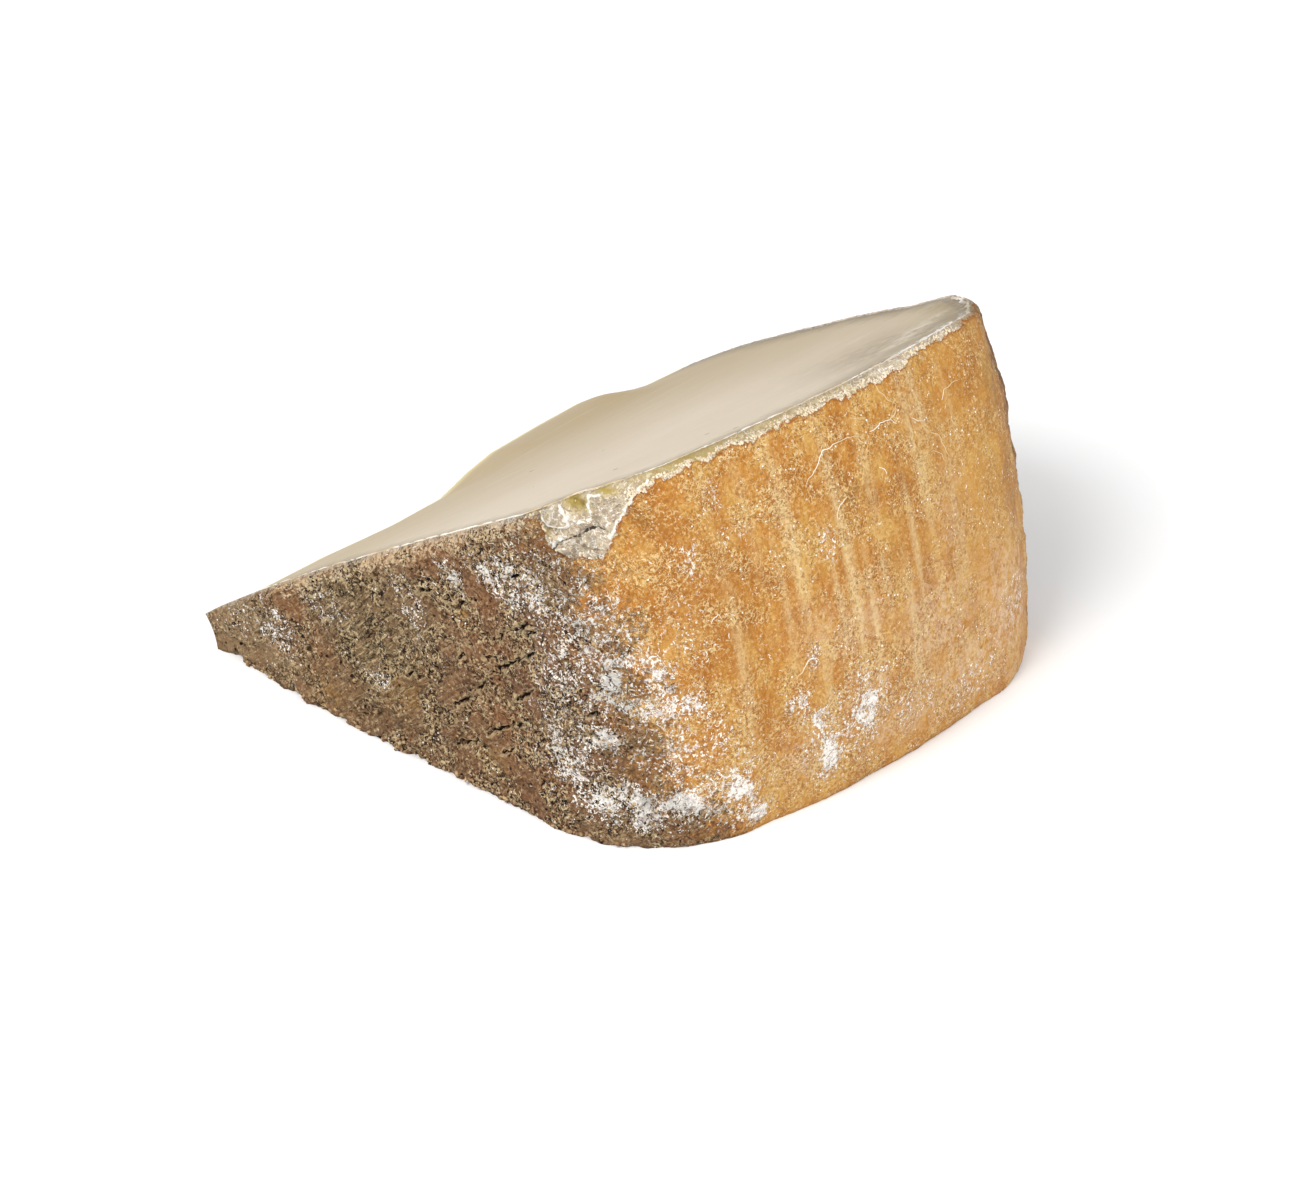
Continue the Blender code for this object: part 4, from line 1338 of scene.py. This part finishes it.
# three colours in soft patches
def makePatches():
    group, (place, size, stretch, first, second, third), leave = newGroup(
        "patches", "Colour", Place=(0, 0, 0), Size=10.0, Stretch=(1, 1, 1),
        First=(0, 0, 0, 1), Second=(1, 1, 1, 1), Third=(1, 1, 1, 1),
    )
    broad = sizedNoise(place, size, stretch, 6.0, 0.68)
    feed(leave, coated(first, (ramp(broad, 0.38, 0.54), second), (ramp(broad, 0.52, 0.66), third)))
    return group


specks, dots, filaments, patches = makeSpecks(), makeDots(), makeFilaments(), makePatches()


def useGroup(group, place, **inputs):
    return addNode(place.tree, "Group", {"Place": place, **inputs}, node_tree=group)


def spots(place, size, low, high, stretch=(1, 1, 1), detail=2.0, roughness=0.55):
    return useGroup(
        specks, place, Size=size, Low=low, High=high, Stretch=stretch, Detail=detail, Roughness=roughness
    )


def dotted(place, spacing, radius, share):
    return useGroup(dots, place, Spacing=spacing, Radius=radius, Share=share)


def curly(place, size, width, gaps, stretch=(1, 1, 1)):
    return useGroup(filaments, place, Size=size, Width=width, Gaps=gaps, Stretch=stretch)


def patchwork(place, size, stretch, first, second, third):
    return useGroup(patches, place, Size=size, Stretch=stretch, First=first, Second=second, Third=third)


# a noise that goes from minus half to plus half of the given amount
def uneven(place, size, amount, detail=3.0, roughness=0.55, low=0.35, high=0.65):
    return (spots(place, size, low, high, detail=detail, roughness=roughness) - 0.5) * amount


def startMaterial(name, roughness, specular):
    material = bpy.data.materials.new(name)
    material.use_nodes = True
    tree = material.node_tree
    sockets = tree.nodes["Principled BSDF"].inputs
    sockets["Roughness"].default_value = roughness
    sockets["Specular IOR Level"].default_value = specular
    place = addNode(tree, "TexCoord", {}, "Object")
    space = addNode(tree, "VectorMath", {0: place, "Scale": 1 / mm}, operation="SCALE")

    def marked(field, output="Fac"):
        return addNode(tree, "Attribute", {}, output, attribute_name=field, attribute_type="GEOMETRY")

    return material, sockets, space, marked


def addBump(sockets, height, strength, distance):
    inputs = {"Height": height, "Strength": strength, "Distance": distance}
    feed(sockets["Normal"], addNode(height.tree, "Bump", inputs))


rindPaint = {
    "honey": "bf9149",
    "orange": "ae732b",
    "amber": "975c1e",
    "streak": "d2b684",
    "creamLine": "ddc18c",
    "rustLine": "8c5828",
    "brown": "74573e",
    "warmBrown": "725037",
    "darkBrown": "563f2e",
    "olive": "776647",
    "rustBrown": "80522f",
    "noseTan": "8c7656",
    "tanLine": "d0b990",
    "pit": "1e130d",
    "ochre": "906a37",
    "mould": "f6f0e6",
    "mouldClump": "f6f2ea",
    "pink": "d4b799",
    # pale crumbs and a painted highlight along the paste's edge
    "silver": "ece8e2",
    "cream": "cbbda4",
    "grey": "b09d8a",
    "crease": "86705c",
    "oliveFlesh": "ac975d",
    "yellowOlive": "9b8437",
    # painted shadow below the crust's broken edge
    "rust": "8a4b1a",
    "crack": "160f0a",
    "lilac": "d3c6c0",
    "veil": "af957a",
    "lipTan": "c8aa86",
    "oldRim": "9b8657",
}
rindGrain = {
    "patch": (7.0, 9.0),  # size of the colour patches on the heel and on the faces
    "turn": (-9.0, 7.0),  # brown turns into orange over this way into the heel
    "turnRagged": (5.0, 8.0),  # size and reach of its ragged edge
    "turnFine": (1.2, 9.0),
    "fibreSlant": -0.72,
    "lip": (3.4, 1.2),  # the tan lip fades out and in at these depths below the cut
    "curl": (1.3, 1.05),  # size of the curls on the faces and on the heel
    "curlWidth": 0.06,
    "mouldCover": (0.4, 0.95),  # least cover in a marked place, and what the clumps add
    "bump": (0.8, 0.00025),  # strength and metres
}


def makeRindMaterial():
    material, sockets, space, marked = startMaterial("rind", 0.75, 0.15)
    spaceTwo, spaceThree = shifted(space, (37, 11, 5)), shifted(space, (-19, 43, 27))
    wall, into, side = marked("rindPlace", "Vector"), marked("intoHeel"), marked("brokenSide")
    tone = mixPaints(rindPaint)
    grain = rindGrain

    # heel: honey and orange patches with pale streaks from cut to cut
    onHeel, onFace = grain["patch"]
    heel = patchwork(wall, onHeel, (1, 0.6, 1), tone.honey, tone.orange, tone.amber)
    streaks = spots(wall, 1.3, 0.32, 0.50, (1, 0.12, 1), 4.0, 0.65)
    streaks = streaks * spots(space, 1.5, 0.26, 0.5, detail=4.0)
    heel = coated(
        heel,
        (spots(spaceTwo, 1.8, 0.50, 0.62, (1, 1, 0.7), 4.0, 0.65) * 0.35, tone.honey),
        (marked("honeyTint"), tone.honey),
        (marked("amberTint"), tone.amber),
        (streaks * marked("paleStreak"), tone.streak),
    )

    # flat faces: dry brown crust, olive and fibrous towards the nose
    face = patchwork(wall, onFace, (0.9, 1, 1), tone.brown, tone.warmBrown, tone.darkBrown)
    mottle = spots(spaceTwo, 2.6, 0.36, 0.6, detail=4.0, roughness=0.65)
    turned = addNode(
        wall.tree, "VectorRotate", {"Vector": wall, "Angle": grain["fibreSlant"]}, rotation_type="Z_AXIS"
    )
    fibre = marked("fibre")
    paleFibre = spots(turned, 0.62, 0.54, 0.60, (0.13, 1, 1), 3.0, 0.7) * fibre
    darkFibre = spots(shifted(turned, (9, 5, 0)), 0.7, 0.46, 0.40, (0.14, 1, 1), 3.0, 0.7) * fibre
    tints = (("oliveTint", tone.olive), ("rustTint", tone.rustBrown), ("noseTint", tone.noseTan))
    face = coated(
        face,
        *(((mottle * 0.6 + 0.4) * marked(name), tint) for name, tint in tints),
        (spots(turned, 1.4, 0.40, 0.52, (0.3, 1, 1)) * marked("ochreMark"), tone.ochre),
        (paleFibre * 0.65, tone.tanLine),
        (darkFibre * 0.75, tone.pit),
    )

    # where the faces turn into the heel
    ragged = uneven(spaceTwo, *grain["turnRagged"], 4.0)
    fine = uneven(space, *grain["turnFine"], 4.0, 0.75, 0.38, 0.62)
    zone = ramp(into + ragged + fine, *grain["turn"])
    notHeel = 1.0 - zone
    colour = coated(
        mixed(zone, face, heel),
        (zone * notHeel * 2.6, tone.rustBrown),
        (marked("darkMark") * mottle, tone.darkBrown),
        (marked("palePink") * spots(space, 1.6, 0.35, 0.65, detail=4.0, roughness=0.7), tone.pink),
    )

    # from what a value is on the faces to what it is on the heel
    def turning(start, end):
        return ramp(zone, 0, 1, start, end)

    # tan crumbling lip along the near face's upper edge
    lipDepth = marked("belowCut") + uneven(space, 1.6, 2.6, 4.0, 0.7) + ramp(into, -40, -80, 0.0, 1.3)
    lip = ramp(lipDepth, *grain["lip"]) * ramp(into, -98, -80) * notHeel
    lip = lip * spots(spaceTwo, 1.1, 0.42, 0.52, detail=4.0, roughness=0.7)

    # fine grain: pale curls and dark ones, crystals and pits, crowded in places
    crowd = spots(spaceThree, 7.0, 0.42, 0.58, detail=3.0)
    paleLine = mixed(zone, tone.tanLine, tone.creamLine)
    darkLine = mixed(zone, tone.pit, tone.rustLine)
    clumped = spots(shifted(space, (71, -8, 33)), 4.0, 0.38, 0.60, detail=5.0, roughness=0.62)
    least, more = grain["mouldCover"]
    density = marked("whiteMould") * (clumped * more + least)
    some = crowd * turning(0.7, 0.45) + turning(0.3, 0.55)
    some = some * (1.0 - marked("noseTint") * 0.8) * (1.0 - marked("calm") * 0.45)
    gaps = turning(0.57, 0.53) - (crowd * 0.10 + density * 0.08)
    curlSize, width = turning(*grain["curl"]), grain["curlWidth"]
    paleCurls = curly(space, curlSize, width, gaps) * some
    lace = curly(spaceThree, 0.75, 0.045, gaps + 0.02) * some
    darkCurls = curly(spaceTwo, curlSize, width, gaps - notHeel * 0.05) * some
    grit = spots(spaceThree, 0.7, 0.52, 0.60, detail=3.0, roughness=0.7) * some
    darkGrit = spots(spaceThree, 0.7, 0.46, 0.40, detail=3.0, roughness=0.7) * some
    longCracks = curly(spaceThree, 2.8, 0.016, 0.53, (1, 1, 1.5)) * notHeel
    crystals = dotted(space, 0.9, 0.15, 0.5) * (crowd + 0.2)
    holes = dotted(spaceTwo, 1.7, 0.30, 0.38) * turning(1.0, 0.4)
    colour = coated(
        colour,
        (lip * 0.9, tone.lipTan),
        (darkGrit * turning(0.95, 0.5), darkLine),
        (grit * turning(0.5, 0.3), paleLine),
        (darkCurls * turning(1.0, 0.6), darkLine),
        (lace * 0.5, paleLine),
        (paleCurls * turning(0.9, 0.75), paleLine),
        (longCracks * 0.9, tone.crack),
        (crystals * 0.85, tone.mouldClump),
        (holes, darkLine),
    )

    # white mould: a thin veil with granules and curled threads in it, and clumps where it is thickest
    veil = ramp(density, 0.1, 0.8) * spots(spaceTwo, 2.6, 0.34, 0.58, detail=4.0, roughness=0.7)
    mouldTone = mixed(spots(spaceThree, 1.6, 0.42, 0.60, detail=3.0), tone.mould, tone.lilac)
    level = 0.63 - density * 0.14
    granules = spots(space, 0.75, level, level + 0.04, roughness=0.6) * ramp(density, 0.08, 0.3)
    mould = curly(spaceThree, 0.95, density * 0.04 + 0.045, 0.62 - density * 0.2) * ramp(density, 0.05, 0.2)
    level = 0.77 - density * 0.31
    clumps = spots(spaceTwo, 1.7, level, level + 0.03, detail=5.0, roughness=0.7) * ramp(density, 0.15, 0.4)
    darkLace = curly(shifted(space, (5, 61, 13)), 1.0, 0.055, 0.47) * ramp(density, 0.1, 0.35)
    colour = coated(
        colour,
        (veil * 0.25, tone.veil),
        (granules, mouldTone),
        (mould, tone.mould),
        (clumps, mixed(granules, mouldTone, tone.mouldClump)),
        (darkLace * turning(1.0, 0.65), darkLine),
    )

    # the crust's broken edge: cream ridge, olive band, a painted shadow just below the edge, and a silver
    # line under the cut that is partly pale crumbs and partly a painted highlight
    jagged = side + uneven(space, 0.7, 0.45)
    # painted shadow: a dark orange band just below the crust's broken edge, where the crust overhangs
    under = ramp(jagged, -0.7, -0.05) - ramp(jagged, -0.05, 0.1)
    smooth = marked("creamFlesh")
    ridge = jagged + uneven(wall, 3.0, 1.6)
    fold = ramp(marked("foldAway"), 0.36, 0.14) * spots(space, 1.2, 0.32, 0.44)
    split = marked("splitAway") + uneven(space, 0.8, 0.25, 2.0)
    past, oldRim = marked("pastPaste"), marked("oldRim")
    seam = ramp(past, -1.4, -0.7) * (1.0 - ramp(past, -0.4, -0.1))
    # a pale dotted line at the paste's edge: partly crumbs, partly a painted highlight on the raised lip
    silver = ramp(past, -0.3, 0.1) * spots(space, 0.9, 0.36, 0.44) * ramp(into, -40, -10, 0.3, 1.0)
    flesh = coated(
        mixed(spots(space, 2.0, 0.38, 0.54, detail=5.0, roughness=0.7), tone.grey, tone.cream),
        (smooth, tone.cream),
        (curly(spaceTwo, 1.3, 0.05, 0.44) * (1.0 - smooth * 0.85) * 0.7, tone.crease),
        (curly(spaceThree, 0.8, 0.05, 0.46) * (0.35 - smooth * 0.3), tone.crease),
        (curly(space, 1.1, 0.055, 0.46) * 0.85, tone.mouldClump),
        (ramp(ridge, 0.25, 0.6) * marked("oliveFlesh") * 0.85, tone.oliveFlesh),
        (ramp(ridge, 0.3, 0.8) * marked("yellowOlive") * 0.85, tone.yellowOlive),
        (fold, tone.mouldClump),
        (ramp(split, 0.22, 0.08) * 0.85, tone.crack),
        (oldRim * 0.8, tone.oldRim),
        (seam * 0.35, tone.crease),
        (silver * (1.0 - oldRim * 0.8), tone.silver),
    )
    thin = marked("crackAway") + uneven(space, 0.7, 0.4)
    colour = coated(
        colour,
        # painted shadow below the broken edge
        (under * zone * 0.7, tone.rust),
        (ramp(jagged, -0.05, 0.12) * ramp(into, -14, -9, 0.5, 1.0), flesh),
        # painted highlight: pale tan lips on both sides of each crack
        ((ramp(thin, 1.0, 0.6) - ramp(thin, 0.55, 0.4)) * 0.45, tone.tanLine),
        (ramp(thin, 0.40, 0.22), tone.crack),
    )
    feed(sockets["Base Color"], colour)

    # height of the fine grain
    height = (paleCurls * 0.8 + grit * 0.5 - (darkCurls * 0.8 + darkGrit)) * (notHeel * 0.7 + 0.4)
    height = height - (holes + longCracks * 1.5) + (mould * 0.7 + clumps * 1.4)
    addBump(sockets, height + (paleFibre - darkFibre) * notHeel * 0.8, *grain["bump"])
    feed(sockets["Roughness"], maths("MAXIMUM", turning(0.85, 0.6), clumps + mould * 0.8))
    return material


pastePaint = {
    "ivory": "c9baa3",
    "cream": "c5b59d",
    "buff": "bfae93",
    "far": "a48e69",
    # painted shade towards the far side
    "near": "a08858",
    "edge": "806e4b",
    # painted shade along the rind
    "noseRim": "d0bf7d",
    "fleck": "73523c",
    # pale crumbs and a painted highlight along the paste's edge
    "silver": "ece6da",
    "mark": "d5c9b2",
    "greyCorner": "75633e",
    # painted shadow line along the rind
    "seam": "7a6d58",
    "olive": "9d8e63",
}
pasteDepth = {
    "weight": 0.25,  # how much light goes into it
    "radius": (1.0, 0.7, 0.4),
    "scale": 0.002,
    "bump": (0.25, 0.0001),
}


def makePasteMaterial():
    material, sockets, space, marked = startMaterial("paste", 0.45, 0.4)
    tone = mixPaints(pastePaint)
    x = addNode(space.tree, "SeparateXYZ", {0: space})
    y = x.also(1)
    mottle = spots(space, 2.2, 0.38, 0.6, (1, 0.6, 1), 4.0, 0.65)
    rough = (mottle - 0.5) * 2.0
    edgeAway, oliveEdge = marked("edgeAway"), marked("oliveEdge")
    # a pale dotted line at the paste's edge: partly crumbs, partly a painted highlight on the raised lip
    silver = ramp(edgeAway + rough * 0.5, 1.1, 0.8) * spots(space, 1.5, 0.43, 0.50) * ramp(y, 52, 40)
    flaws = maths("MAXIMUM", dotted(space, 9.0, 0.22, 0.4), ramp(marked("flaw"), 0.35, 0.6))
    feed(sockets["Base Color"], coated(
        patchwork(space, 40.0, (1, 0.45, 1), tone.ivory, tone.cream, tone.buff),
        # painted shade: the paste darkens towards the far side (+y)
        (ramp(y, 0, 66) * 0.6, tone.far),
        (ramp(x, 10, -55) * 0.8, tone.near),
        (spots(space, 1.8, 0.55, 0.75, (1, 0.05, 1), 3.0) * 0.18, tone.mark),
        (marked("greyCorner") * (mottle * 0.5 + 0.5) * 0.9, tone.greyCorner),
        (oliveEdge * (mottle * -0.4 + 0.9), tone.olive),
        # painted shade: the paste darkens towards the rind over about 8 mm
        (ramp(edgeAway + rough, 8.0, -0.5) * 0.75, tone.edge),
        (marked("smear") * spots(space, 1.9, 0.42, 0.52, detail=6.0, roughness=0.75) * 0.7, tone.mark),
        # painted shadow: a grey line just inside the paste's edge, along the rind
        (ramp(edgeAway, 1.7, 1.0) * spots(space, 1.0, 0.36, 0.50) * 0.8, tone.seam),
        (silver * ramp(oliveEdge, 0.9, 0.3, 0.4, 0.8), tone.silver),
        (ramp(marked("noseAway"), 3.0, 0.3) * 0.9, tone.noseRim),
        (flaws * 0.75, tone.fleck),
    ))
    for name in ("weight", "radius", "scale"):
        sockets["Subsurface " + name.title()].default_value = pasteDepth[name]
    addBump(sockets, spots(space, 1.2, 0.3, 0.7, (1, 0.3, 1), 4.0) - flaws * 2.0, *pasteDepth["bump"])
    return material


threadPaint = {"pale": "d2b88c", "white": "eee8dc"}


def makeThreadMaterial():
    material, sockets, space, _ = startMaterial("threads", 0.7, 0.3)
    tone = mixPaints(threadPaint)
    feed(sockets["Base Color"], mixed(spots(space, 9.0, 0.4, 0.6), tone.pale, tone.white))
    return material


crumbPaint = {"cream": "e9dabe", "ivory": "d8c6a7", "brown": "7f5f42", "tan": "b99c72"}


def makeCrumbMaterial():
    material, sockets, space, marked = startMaterial("crumbs", 0.8, 0.3)
    tone = mixPaints(crumbPaint)
    mottle = spots(space, 2.0, 0.4, 0.6)
    pale, dark = mixed(mottle, tone.cream, tone.ivory), mixed(mottle, tone.brown, tone.tan)
    feed(sockets["Base Color"], mixed(marked("tone"), pale, dark))
    return material


makeCamera()
makeStudio()
print("camera and studio made")
builders = (
    (makeRind, makeRindMaterial, "rind"),
    (makePaste, makePasteMaterial, "paste"),
    (makeThreads, makeThreadMaterial, "rind"),
    (makeCrumbs, makeCrumbMaterial, "rind"),
)
for makePiece, makeMaterial, slot in builders:
    piece = makePiece()
    piece.data.materials.append(makeMaterial())
    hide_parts("cheese_chunk")
    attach(piece, "root")
print("pieces made")
